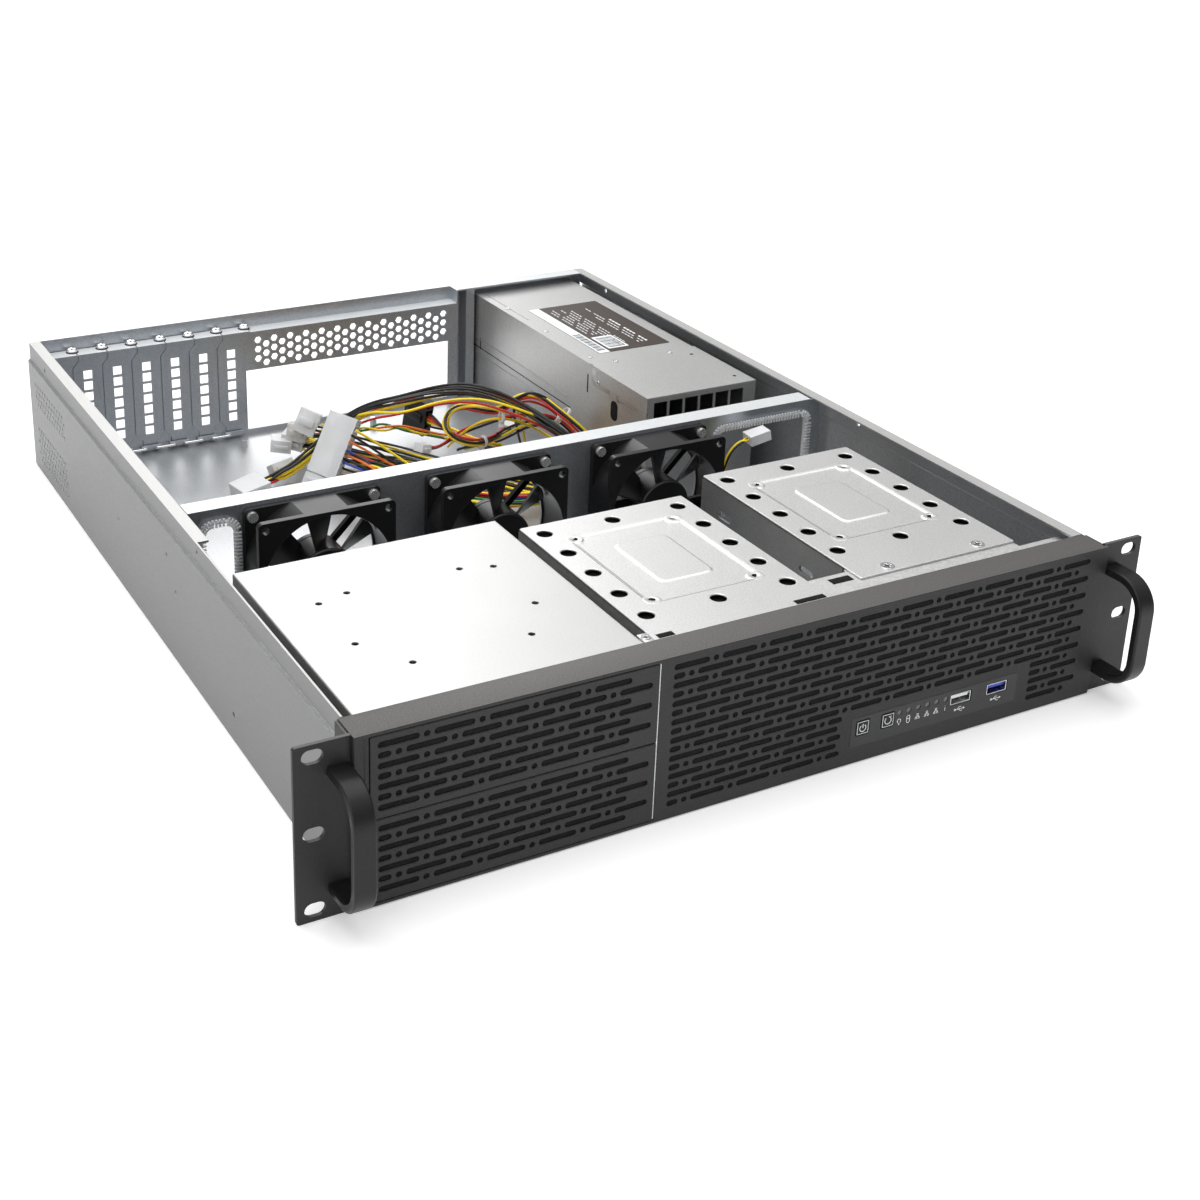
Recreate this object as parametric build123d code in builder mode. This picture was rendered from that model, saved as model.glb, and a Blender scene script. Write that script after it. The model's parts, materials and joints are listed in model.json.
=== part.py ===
from build123d import *
from math import pi, radians, tan
import os

os.makedirs("parts", exist_ok=True)

# Two-unit rack server case with its cover off, seen as it stands on its floor.
# X runs to the right, Y to the back, Z up. The origin is on the ground, under
# the middle of the whole case from the handles to the screw heads at the back.

# Overall sizes
ear_span = 482.6
chassis_width = 430.0
chassis_height = 88.0
chassis_depth = 550.0
handle_reach = 29.0
screw_head_height = 2.2
sheet = 1.2
seam = 0.3

# Rack ears
ear_thick = 2.0
ear_return_depth = 15.0
slot_pitch_x = 465.1
slot_pitch_z = 38.1
slot_length = 10.0
slot_width = 7.0

# Bow handles
handle_width = 10.7
handle_bar = 4.6
handle_height = 63.0
handle_bend = 15.0
handle_offset = 221.0

# Bezel and bay covers
bezel_proud = 3.0
bezel_sheet = 1.2
bezel_width = 430.0
bezel_flange_depth = 18.0
bay_opening_width = 145.6
bay_left = -208.2
cover_gap = 0.6
cover_rim = 4.8
cover_split_z = 44.6

# Slot and dot grille
slot_run = 19.5
dot_size = 3.2
slot_height = 3.1
grille_pitch = 26.6
grille_row_pitch = 4.88
grille_rows = 16
grille_full_rows = 11
grille_top_z = 82.2
grille_left = -55.5
grille_right = 202.5
panel_cut_left = 46.0
panel_cut_right = 169.0
door_row_pitch = 5.2
door_rows = 7
door_top_z = 81.3
door_margin = 3.6
short_piece = 7.6

# Front controls
control_z = 20.3
power_x = 59.7
button_pitch = 15.9
button_size = 8.2
button_gap = 0.3
led_x = 83.0
led_pitch = 6.0
led_count = 6
led_size = 3.0
led_z = 22.6
usb_width = 13.2
usb_height = 5.8
usb_x = 123.2
usb_pitch = 24.3
usb_z = 20.8
board_front = 10.0
board_thick = 1.6
stem_gap = 0.9

# Side walls
joggle_z = 76.5
joggle_in = 1.5
lip_width = 7.3
lip_front = 206.0
vent_size = 3.6
vent_pitch = 6.0
vent_row = 4.4
vent_front = 463.0
vent_columns = 12

# Rear wall
recess_depth = 12.0
recess_right = 101.0
ledge_z = 78.2
slot_count = 7
slot_pitch = 20.32
first_slot_x = -199.0
bracket_width = 19.6
bracket_sheet = 1.0
bracket_square = 6.0
square_pitch = 7.85
square_top_z = 67.4
io_width = 158.75
io_height = 44.45
io_left = -66.0
io_bottom = 5.2
hex_size = 5.3
hex_pitch_x = 6.05
hex_pitch_z = 6.95
hex_columns = 25
hex_rows = 3
hex_left = -56.5
hex_bottom = 57.6

# Fan wall
fan_wall_front = 243.6
fan_wall_flange = 13.0
fan_wall_top = 87.0
fan_size = 80.0
fan_depth = 25.0
fan_bore = 76.0
fan_flange = 3.8
fan_pitch = 109.2
fan_first_x = -134.7
fan_center_z = 44.6
fan_hole_pitch = 71.5
fan_hole = 4.4
hub_size = 34.0
blade_count = 7
shaft_size = 3.0
shaft_clearance = 0.05
cable_left = (-199.0, -177.5)
cable_right = (131.5, 204.0)
cable_bottom = 20.0
cable_top = 79.5
trim_width = 3.4

# Power supply
psu_left = 117.5
psu_width = 83.0
psu_top = 82.0
psu_front = 296.5
psu_seam_z = 41.0
psu_cover_depth = 74.0
psu_lip = 9.6
psu_fan_size = 50.0
psu_wall = 1.0
gland_depth = 334.0
gland_z = 21.0
gland_length = 64.0
gland_height = 24.0
psu_fan_x = psu_left + 29.0
psu_fan_z = 50.0
psu_fan_bore = 47.0
psu_fan_depth = 15.0
module_x = psu_left + 66.0
module_z = 41.5
module_width = 25.0
module_height = 62.0
rocker_z = module_z - 17.0
rocker_radius = 9.4
rocker_width = 10.4
pivot_inset = 3.4

# Drive cages
cage_sheet = 1.2
cage_top = 84.5
bay_cage_left = -206.2
bay_cage_width = 148.4
bay_cage_front = 4.0
bay_cage_back = 170.6
drive_cage_width = 102.6
drive_cage_length = 144.5
middle_cage_x = -0.2
middle_cage_back = 156.4
right_cage_x = 128.8
right_cage_back = 174.6
small_pitch_x = 61.72
small_pitch_y = 76.6
large_hole = 8.4
large_pitch_x = 83.6
large_pitch_y = 25.4
small_hole = 3.6
boss_size = 9.0
rail_overlap = 15.0

# Board supports
standoff_height = 6.3
standoff_size = 5.0

# Places along the depth are counted back from the front face of the ears.
ear_face = -(chassis_depth + screw_head_height - handle_reach) / 2
wall_x = chassis_width / 2
upper_x = wall_x - joggle_in
bay_right = bay_left + bay_opening_width
recess_front = chassis_depth - recess_depth - sheet
psu_right = psu_left + psu_width
psu_back = chassis_depth - sheet


def back(depth):
    return ear_face + depth


def block(x0, x1, d0, d1, z0, z1, mode=Mode.ADD):
    center = ((x0 + x1) / 2, back((d0 + d1) / 2), (z0 + z1) / 2)
    with Locations(center):
        Box(x1 - x0, d1 - d0, z1 - z0, mode=mode)


def front_plane(depth):
    # Sketch X is right, sketch Y is up, extrusion goes towards the back.
    return Plane(origin=(0, back(depth), 0), x_dir=(1, 0, 0), z_dir=(0, -1, 0))


def save(part, name):
    part.label = name
    export_step(part, f"parts/{name}.step")


# Slot and dot pattern: a slot is kept as its two ends, a dot as its center and None.
def row_pieces(left, right, first):
    pieces = []
    start = first
    while start < right:
        a = left if start < left + dot_size else start
        b = min(start + slot_run, right)
        if b - a >= short_piece - 1.5:
            pieces.append((a, b))
        dot = start + slot_run + (grille_pitch - slot_run) / 2
        if left + dot_size < dot < right - short_piece - 1.0 and pieces:
            pieces.append((dot, None))
        start += grille_pitch
    return pieces


def slot_outline(length):
    # A slot has tapered ends, as the punch leaves them.
    half = slot_height / 2
    end = length / 2
    tip = end - half * 0.62
    return [(-end, 0), (-tip, half), (tip, half), (end, 0), (tip, -half), (-tip, -half)]


def draw_openings(pieces):
    # Openings of one size are drawn together. A dot is a hexagon.
    dots = [(a, z) for a, b, z in pieces if b is None]
    slots = [(a, b, z) for a, b, z in pieces if b is not None]
    with Locations(*dots):
        RegularPolygon(radius=dot_size / 2, side_count=6)
    for length in sorted({round(b - a, 3) for a, b, z in slots}):
        with Locations(*[((a + b) / 2, z) for a, b, z in slots if round(b - a, 3) == length]):
            Polygon(*slot_outline(length))


def grille_row(left, right, row, z):
    first = grille_left - (row % 2) * grille_pitch / 2
    return [(a, b, z) for a, b in row_pieces(left, right, first)]


def grille_pieces():
    pieces = []
    for row in range(grille_rows):
        z = grille_top_z - row * grille_row_pitch
        if row < grille_full_rows:
            pieces += grille_row(grille_left, grille_right, row, z)
        else:
            pieces += grille_row(grille_left, panel_cut_left, row, z)
            pieces += grille_row(panel_cut_right, grille_right, row, z)
    return pieces


# Chassis: floor and side walls, folded from one sheet
def side_vents(x, rows, bottom):
    plane = Plane(origin=(x, 0, 0), x_dir=(0, 1, 0), z_dir=(1, 0, 0))
    places = []
    for row in range(rows):
        start = back(vent_front) + (row % 2) * vent_pitch / 2
        places += [(start + column * vent_pitch, bottom + row * vent_row) for column in range(vent_columns)]
    with BuildSketch(plane) as vents:
        with Locations(*places):
            RegularPolygon(radius=vent_size / 2, side_count=6)
    extrude(vents.sketch, amount=3 * sheet, both=True, mode=Mode.SUBTRACT)


def make_chassis():
    wall_front = ear_thick
    wall_back = chassis_depth - sheet
    low = joggle_z - joggle_in / 2
    high = joggle_z + joggle_in / 2
    top = chassis_height - sheet
    outside = [(-upper_x, chassis_height), (-upper_x, high), (-wall_x, low), (-wall_x, 0)]
    wall_in = wall_x - sheet
    upper_in = upper_x - sheet
    inside = [(-wall_in, sheet), (-wall_in, low), (-upper_in, high), (-upper_in, chassis_height)]
    with BuildPart() as chassis:
        with BuildSketch(front_plane(wall_front)):
            with BuildLine():
                right_out = [(-x, z) for x, z in reversed(outside)]
                right_in = [(-x, z) for x, z in reversed(inside)]
                Polyline(*outside, *right_out, *right_in, *inside, close=True)
            make_face()
        extrude(amount=-(wall_back - wall_front))
        fillet(chassis.edges().filter_by(Axis.Y).group_by(Axis.Z)[0], radius=1.5)
        block(-upper_x, -upper_x + lip_width, lip_front, wall_back, top, chassis_height)
        flange_back = bezel_flange_depth - bezel_proud + seam
        block(upper_x - lip_width, upper_x, flange_back, wall_back, top, chassis_height)
        block(-upper_x, upper_x, wall_front, flange_back, top, chassis_height, Mode.SUBTRACT)
        for x in (-wall_x, wall_x):
            side_vents(x, 4, 51.0)
            side_vents(x, 6, 10.5)
        holes = [(204.0, 83.0), (510.0, 81.0), (346.0, 43.0), (252.7, 61.0), (239.3, 44.6), (150.8, 16.8)]
        with BuildSketch(Plane(origin=(0, 0, 0), x_dir=(0, 1, 0), z_dir=(1, 0, 0))):
            with Locations(*[(back(depth), z) for depth, z in holes]):
                RegularPolygon(radius=1.7, side_count=8)
        extrude(amount=chassis_width, both=True, mode=Mode.SUBTRACT)
    save(chassis.part, "chassis_base")
    return chassis.part


# Rear wall with its recessed part for the slots and the board's connectors
def bracket_x(index):
    return first_slot_x + index * slot_pitch


def make_rear_panel():
    inner = wall_x - sheet
    inner_top = upper_x - sheet
    bay_floor = sheet
    rear_in = chassis_depth - sheet
    with BuildPart() as panel:
        knee = joggle_z - joggle_in
        block(-inner, recess_right, recess_front, recess_front + sheet, bay_floor, knee)
        block(-inner_top, recess_right, recess_front, recess_front + sheet, knee, ledge_z)
        block(-inner_top, recess_right, recess_front, chassis_depth, ledge_z - sheet, ledge_z)
        block(-inner_top, recess_right, rear_in, chassis_depth, ledge_z - sheet, chassis_height)
        block(recess_right - sheet, recess_right, recess_front, chassis_depth, bay_floor, chassis_height)
        block(recess_right - sheet, inner_top, rear_in, chassis_depth, bay_floor, chassis_height)
        flange_front = chassis_depth - recess_depth
        top_in = chassis_height - sheet
        block(recess_right, upper_x - lip_width, flange_front, rear_in, top_in, chassis_height)
        post = recess_right + lip_width
        block(recess_right, psu_left - seam, flange_front, rear_in, bay_floor, bay_floor + sheet)
        block(post, psu_left - 2.5, flange_front, flange_front + sheet, bay_floor, chassis_height - sheet)
        block(post, post + sheet, flange_front, rear_in, bay_floor, chassis_height - sheet)
        with BuildSketch(front_plane(recess_front)):
            with Locations((io_left + io_width / 2, io_bottom + io_height / 2)):
                Rectangle(io_width, io_height)
            with Locations(*[(bracket_x(index), 41.0) for index in range(slot_count)]):
                Rectangle(13.0, 58.0)
            places = []
            for column in range(hex_columns):
                x = hex_left + column * hex_pitch_x
                bottom = hex_bottom - (column % 2) * hex_pitch_z / 2
                places += [(x, bottom + row * hex_pitch_z) for row in range(hex_rows)]
            with Locations(*places):
                RegularPolygon(radius=hex_size / 2, side_count=6)
        extrude(amount=-sheet - 0.5, mode=Mode.SUBTRACT)
        with BuildSketch(front_plane(rear_in - 0.5)):
            window = psu_width - 8.0
            with Locations((psu_left + psu_width / 2, psu_top / 2 + 0.5)):
                Rectangle(window, psu_top - 9.0)
        extrude(amount=-sheet - 1.0, mode=Mode.SUBTRACT)
        for index in range(slot_count):
            x = bracket_x(index)
            block(x - 7.0, x - 5.6, recess_front - 3.2, recess_front, 4.0, 6.6)
            block(x + 5.6, x + 7.0, recess_front - 3.2, recess_front, 4.0, 6.6)
            block(x - 7.0, x + 7.0, recess_front - 3.2, recess_front - 1.9, 4.0, 6.6)
    save(panel.part, "rear_panel")


def make_slot_covers():
    half = bracket_width / 2
    notch_x = 12.6
    top = ledge_z
    shift = 4.2
    foot = 5.0
    outline = [(-foot, 2.2), (foot, 2.2), (foot, 10.0), (half, 15.5), (half, 70.0), (half + shift, 74.5)]
    outline += [(half + shift, top), (-half + shift, top), (-half + shift, 74.5), (-half, 70.0)]
    outline += [(-half, 15.5), (-foot, 10.0)]
    first_square = square_top_z - bracket_square / 2
    for index in range(slot_count):
        x = bracket_x(index)
        with BuildPart() as cover:
            with BuildSketch(front_plane(recess_front - bracket_sheet)):
                with Locations((x, 0)):
                    Polygon(*outline, align=None)
                with Locations(*[(x, first_square - row * square_pitch) for row in range(7)]):
                    Rectangle(bracket_square, bracket_square, mode=Mode.SUBTRACT)
            extrude(amount=-bracket_sheet)
            tab_back = recess_front + recess_depth - 1.0
            left = x - half + shift
            right = x + half + shift
            block(left, right, recess_front - bracket_sheet, tab_back, top, top + bracket_sheet)
            notch = recess_front + 4.5
            block(x + notch_x - 1.7, right, notch, notch + 4.4, top, top + bracket_sheet, Mode.SUBTRACT)
        save(cover.part, f"slot_cover_{index + 1}")


# Screws: a low round head with a recess, on a plain shank
def screw(head, shank_size, shank_length):
    Cylinder(head / 2, screw_head_height, align=(Align.CENTER, Align.CENTER, Align.MIN))
    Cylinder(shank_size / 2, shank_length, align=(Align.CENTER, Align.CENTER, Align.MAX))


def make_slot_screws():
    with BuildPart() as screws:
        for index in range(slot_count):
            place = (bracket_x(index) + 12.6, back(recess_front + 6.7), ledge_z + bracket_sheet)
            with Locations(place):
                screw(7.0, 3.0, bracket_sheet - 0.1)
    save(screws.part, "slot_screws")


# Fan wall, folded from one sheet
def fan_x(index):
    return fan_first_x + index * fan_pitch


def fan_corners(index):
    half = fan_hole_pitch / 2
    x = fan_x(index)
    return [(x + sx * half, fan_center_z + sz * half) for sx in (-1, 1) for sz in (-1, 1)]


def cable_rectangle(span, grow=0.0, mode=Mode.ADD):
    width = span[1] - span[0] + 2 * grow
    height = cable_top - cable_bottom + 2 * grow
    with Locations(((span[0] + span[1]) / 2, (cable_bottom + cable_top) / 2)):
        RectangleRounded(width, height, min(8.0, width / 2.5) + grow, mode=mode)


def make_fan_wall():
    inner = wall_x - sheet
    inner_top = upper_x - sheet
    face = fan_wall_front
    with BuildPart() as wall:
        block(-inner, inner, face, face + sheet, sheet, joggle_z - joggle_in)
        top = fan_wall_top
        reach = upper_x - lip_width - 1.0
        block(-inner_top, inner_top, face, face + sheet, joggle_z - joggle_in, top - 0.5)
        block(-reach, reach, face, face + fan_wall_flange, top - sheet, top)
        block(-inner, inner, face, face + fan_wall_flange, sheet, 2 * sheet)
        for side in (-1, 1):
            a = side * inner
            b = side * (inner - sheet)
            block(min(a, b), max(a, b), face, face + fan_wall_flange, sheet, joggle_z - joggle_in)
        with BuildSketch(front_plane(face)):
            for index in range(3):
                with Locations((fan_x(index), fan_center_z)):
                    Circle(fan_bore / 2 - 1.0)
                for x, z in fan_corners(index):
                    with Locations((x, z)):
                        Circle(2.0)
            cable_rectangle(cable_left)
            cable_rectangle(cable_right)
        extrude(amount=-sheet, mode=Mode.SUBTRACT)
    with BuildPart() as trims:
        for span in (cable_left, cable_right):
            with BuildSketch(front_plane(fan_wall_front - 1.2)):
                cable_rectangle(span, trim_width * 0.55)
                cable_rectangle(span, -trim_width * 0.45, Mode.SUBTRACT)
            extrude(amount=-(sheet + 2.4))
            with BuildSketch(front_plane(fan_wall_front)):
                cable_rectangle(span, trim_width)
                cable_rectangle(span, 0.0, Mode.SUBTRACT)
            extrude(amount=-sheet, mode=Mode.SUBTRACT)
    save(wall.part, "fan_wall")
    save(trims.part, "cable_grommets")


# Fans: an open frame with two flanges, and a rotor on a shaft
def make_fan_frame(name, place, size, depth, bore, flange, hub, hole_pitch, hole):
    x, z, front = place
    duct = bore / 2 + 4.0 * size / 80.0
    with BuildPart() as frame:
        with BuildSketch(front_plane(front)):
            with Locations((x, z)):
                RectangleRounded(size, size, 3.0)
        extrude(amount=-flange)
        with BuildSketch(front_plane(front + depth - flange)):
            with Locations((x, z)):
                RectangleRounded(size, size, 3.0)
        extrude(amount=-flange)
        with BuildSketch(front_plane(front)):
            with Locations((x, z)):
                Circle(duct)
                Rectangle(size, size, mode=Mode.INTERSECT)
        extrude(amount=-depth)
        with BuildSketch(front_plane(front)):
            with Locations((x, z)):
                Circle(bore / 2)
                with GridLocations(hole_pitch, hole_pitch, 2, 2):
                    Circle(hole / 2)
        extrude(amount=-depth, mode=Mode.SUBTRACT)
        mount = 3.2
        with BuildSketch(front_plane(front + depth - mount)):
            with Locations((x, z)):
                Circle(hub / 2)
                for turn in (45, 135):
                    Rectangle(bore + 1.0, 3.6, rotation=turn)
                Circle(bore / 2 + 0.6, mode=Mode.INTERSECT)
                Circle(shaft_size / 2 + shaft_clearance, mode=Mode.SUBTRACT)
        extrude(amount=-mount)
    save(frame.part, name)


def make_rotor(name, place, depth, bore, hub, blades):
    x, z, front = place
    root = hub / 2 - 1.0
    tip = bore / 2 + 1.0
    reach = bore / 2 - 1.1
    hub_front = front + 1.8
    hub_back = front + depth - 3.2 - 0.6
    middle = back((hub_front + hub_back) / 2)
    chord_root = hub * 0.52
    chord_tip = bore * 0.36
    thick = 1.5
    with BuildPart() as blade:
        for radius, chord, pitch in ((root, chord_root, 52), (tip, chord_tip, 34)):
            plane = Plane(origin=(x, middle, z + radius), x_dir=(1, 0, 0), z_dir=(0, 0, 1))
            with BuildSketch(plane):
                Rectangle(chord, thick, rotation=pitch)
        loft()
        with BuildSketch(front_plane(hub_front + 0.6)):
            with Locations((x, z)):
                Circle(reach)
                Circle(root - 1.5, mode=Mode.SUBTRACT)
        extrude(amount=-(hub_back - hub_front - 1.2), mode=Mode.INTERSECT)
    with BuildPart() as rotor:
        with BuildSketch(front_plane(hub_front)):
            with Locations((x, z)):
                Circle(hub / 2)
        extrude(amount=-(hub_back - hub_front))
        fillet(rotor.edges().group_by(Axis.Y)[0], radius=1.5)
        axis = Axis((x, 0, z), (0, 1, 0))
        for index in range(blades):
            add(blade.part.rotate(axis, index * 360 / blades))
        with BuildSketch(front_plane(hub_back - 1.0)):
            with Locations((x, z)):
                Circle(shaft_size / 2)
        extrude(amount=-(1.0 + 0.6 + 3.2))
    save(rotor.part, name)


def make_fans():
    front = fan_wall_front - fan_depth
    for index in range(3):
        place = (fan_x(index), fan_center_z, front)
        make_fan_frame(f"fan_frame_{index + 1}", place, fan_size, fan_depth, fan_bore, fan_flange,
                       hub_size, fan_hole_pitch, fan_hole)
        make_rotor(f"fan_rotor_{index + 1}", place, fan_depth, fan_bore, hub_size, blade_count)
    with BuildPart() as screws:
        for index in range(3):
            for x, z in fan_corners(index):
                depth = fan_wall_front - fan_flange
                plane = Plane(origin=(x, back(depth), z), x_dir=(1, 0, 0), z_dir=(0, -1, 0))
                with BuildSketch(plane):
                    Circle(3.0)
                extrude(amount=2.4)
                with BuildSketch(plane):
                    Circle(1.9)
                extrude(amount=-(fan_flange + sheet + 1.5))
    save(screws.part, "fan_screws")


# Power supply: two shells, a screwed front cover, fan, inlet and switch
def make_psu():
    wall = psu_wall
    floor = sheet
    left_in = psu_left + wall
    right_in = psu_right - wall
    front_in = psu_front + wall
    back_in = psu_back - wall
    with BuildPart() as lower:
        block(psu_left, psu_right, psu_front, psu_back, floor, psu_seam_z)
        block(left_in, right_in, front_in, back_in, floor + wall, psu_seam_z, Mode.SUBTRACT)
        plane = Plane(origin=(psu_left, back(gland_depth), gland_z), x_dir=(0, 1, 0), z_dir=(-1, 0, 0))
        with BuildSketch(plane):
            Rectangle(gland_length, gland_height)
        extrude(amount=-wall, mode=Mode.SUBTRACT)
        with BuildSketch(front_plane(psu_back - wall)):
            with Locations((module_x, module_z)):
                Rectangle(module_width - 3.0, module_height - 3.0)
        extrude(amount=-wall, mode=Mode.SUBTRACT)
    with BuildPart() as upper:
        block(psu_left, psu_right, psu_front, psu_back, psu_seam_z, psu_top)
        block(left_in, right_in, front_in, back_in, psu_seam_z, psu_top - wall, Mode.SUBTRACT)
        with BuildSketch(front_plane(psu_front)):
            places = [(psu_left + 9.4 + column * 11.8, z) for column in range(6) for z in (73.4, 60.0)]
            with Locations(*places):
                Rectangle(10.2, 11.0)
        extrude(amount=-wall, mode=Mode.SUBTRACT)
        with BuildSketch(front_plane(psu_back - wall)):
            places = []
            for column in range(9):
                bottom = psu_fan_z - 16.0 + (column % 2) * 3.0
                places += [(psu_fan_x - 20.0 + column * 5.0, bottom + row * 6.0) for row in range(5)]
            with Locations(*places):
                RegularPolygon(radius=2.7, side_count=6)
            with Locations((module_x, module_z)):
                Rectangle(module_width - 3.0, module_height - 3.0)
        extrude(amount=-wall, mode=Mode.SUBTRACT)
        side = Plane(origin=(psu_left, 0, 0), x_dir=(0, 1, 0), z_dir=(-1, 0, 0))
        with BuildSketch(side):
            with Locations((back(378.0), 66.0)):
                Rectangle(2.0, 13.0)
            with Locations((back(345.0), 58.0)):
                Rectangle(8.0, 10.0)
        extrude(amount=-wall, mode=Mode.SUBTRACT)
    cover_back = psu_front + psu_cover_depth
    with BuildPart() as cover:
        block(psu_left - wall, psu_right, psu_front, cover_back - 5.0, psu_top, psu_top + 0.8)
        block(psu_left, psu_right, cover_back - 5.0, cover_back, psu_top, psu_top + 0.8)
        block(psu_left - wall, psu_left, psu_front, cover_back - 9.0, psu_top - psu_lip, psu_top)
    with BuildPart() as label:
        block(psu_left + 16.5, psu_left + 73.2, 386.0, 489.0, psu_top, psu_top + 0.2)
    save(lower.part, "psu_case_lower")
    save(upper.part, "psu_case_upper")
    save(cover.part, "psu_front_cover")
    save(label.part, "psu_label")


def make_psu_rear():
    depth = psu_fan_depth
    place = (psu_fan_x, psu_fan_z, psu_back - psu_wall - depth)
    make_fan_frame("psu_fan_frame", place, psu_fan_size, depth, psu_fan_bore, 2.6, 22.0, 40.0, 3.4)
    make_rotor("psu_fan_rotor", place, depth, psu_fan_bore, 22.0, 7)
    face = psu_back + 1.2
    slot_x = rocker_width / 2 + 0.3
    slot_z = 9.8
    with BuildPart() as inlet:
        with BuildSketch(front_plane(psu_back)):
            with Locations((module_x, module_z)):
                RectangleRounded(module_width, module_height, 1.5)
        extrude(amount=-1.2)
        block_half = (module_width - 3.2) / 2
        z_low = module_z - (module_height - 3.2) / 2
        z_high = module_z + (module_height - 3.2) / 2
        block(module_x - block_half, module_x + block_half, psu_back - 14.0, psu_back, z_low, z_high)
        with BuildSketch(front_plane(face)):
            with Locations((module_x, module_z + 12.5)):
                Rectangle(15.6, 24.0)
        extrude(amount=11.0, mode=Mode.SUBTRACT)
        low = rocker_z - slot_z
        high = rocker_z + slot_z
        block(module_x - slot_x, module_x + slot_x, psu_back - 12.5, face, low, high, Mode.SUBTRACT)
        pivot = (module_x, back(psu_back - pivot_inset), rocker_z)
        with Locations(pivot):
            Cylinder(1.0 + shaft_clearance, rocker_width + 4.0, rotation=(0, 90, 0), mode=Mode.SUBTRACT)
        for dx, dz in ((0, 19.0), (-4.4, 9.0), (4.4, 9.0)):
            x = module_x + dx
            z = module_z + dz
            block(x - 1.0, x + 1.0, psu_back - 12.0, psu_back - 1.5, z - 2.0, z + 2.0)
    with BuildPart() as rocker:
        origin = (module_x - rocker_width / 2, back(psu_back - pivot_inset), rocker_z)
        key = [(-7.0, -12.0), (4.6, -12.0), (2.2, 0), (4.6, 12.0), (-7.0, 12.0)]
        with BuildSketch(Plane(origin=origin, x_dir=(0, 1, 0), z_dir=(1, 0, 0))):
            Circle(rocker_radius)
            Polygon(*key, align=None, rotation=-8.0, mode=Mode.INTERSECT)
        extrude(amount=rocker_width)
        with Locations(pivot):
            Cylinder(1.0, rocker_width + 3.6, rotation=(0, 90, 0))
    save(inlet.part, "psu_inlet")
    save(rocker.part, "psu_switch")


# Screws that hold the cages, the power supply and the handles
def cage_screws():
    return [(right_cage_x - 30.4, 35.2), (right_cage_x + 30.0, 35.2)]


def make_case_screws():
    head = 6.4
    with BuildPart() as screws:
        for x, depth in cage_screws():
            with Locations((x, back(depth), cage_top)):
                screw(head, 3.2, cage_sheet)
        for dx, dz in ((-31.0, 34.0), (30.5, 34.5), (-31.0, -35.0), (-4.0, -35.0)):
            x = psu_left + psu_width / 2 + dx
            z = psu_top / 2 + dz
            plane = Plane(origin=(x, back(chassis_depth), z), x_dir=(1, 0, 0), z_dir=(0, 1, 0))
            with BuildSketch(plane):
                Circle(head / 2)
            extrude(amount=screw_head_height)
        for side in (-1, 1):
            for sz in (-1, 1):
                z = chassis_height / 2 + sz * (handle_height / 2 - handle_bar / 2)
                place = (side * handle_offset, back(ear_thick), z)
                with BuildSketch(Plane(origin=place, x_dir=(1, 0, 0), z_dir=(0, 1, 0))):
                    Circle(head / 2 - 0.6)
                extrude(amount=screw_head_height)
    save(screws.part, "case_screws")


# Drive cages
def cage_shell(x0, x1, d0, d1):
    block(x0, x1, d0, d1, sheet, cage_top)
    inner_top = cage_top - cage_sheet
    block(x0 + cage_sheet, x1 - cage_sheet, d0, d1, sheet + cage_sheet, inner_top, Mode.SUBTRACT)


def top_holes(places, size, sides=12):
    with BuildSketch(Plane.XY.offset(cage_top)) as holes:
        with Locations(*[(x, back(depth)) for x, depth in places]):
            RegularPolygon(radius=size / 2, side_count=sides)
    extrude(holes.sketch, amount=-2 * cage_sheet, mode=Mode.SUBTRACT)


def make_bay_cage():
    x0 = bay_cage_left
    x1 = x0 + bay_cage_width
    x = (x0 + x1) / 2
    small = grid_places(x, 88.8, small_pitch_x, small_pitch_y, (-0.5, 0.5))
    outer = grid_places(x, 100.0, 95.25, 44.45, (-0.5, 0.5))
    with BuildPart() as cage:
        cage_shell(x0, x1, bay_cage_front, bay_cage_back)
        fillet(cage.edges().filter_by(Axis.Y).group_by(Axis.Z)[-1], radius=1.0)
        top_holes(small + outer, small_hole)
        with BuildSketch(Plane(origin=(x0, 0, 0), x_dir=(0, 1, 0), z_dir=(1, 0, 0))):
            with Locations(*[(back(depth), z) for z in (22.0, 62.0) for depth in (52.0, 131.5)]):
                SlotOverall(14.0, 4.0)
        extrude(amount=bay_cage_width, mode=Mode.SUBTRACT)
    save(cage.part, "bay_cage")


def grid_places(x, depth, pitch_x, pitch_y, rows):
    return [(x + sx * pitch_x / 2, depth + row * pitch_y) for sx in (-1, 1) for row in rows]


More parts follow.
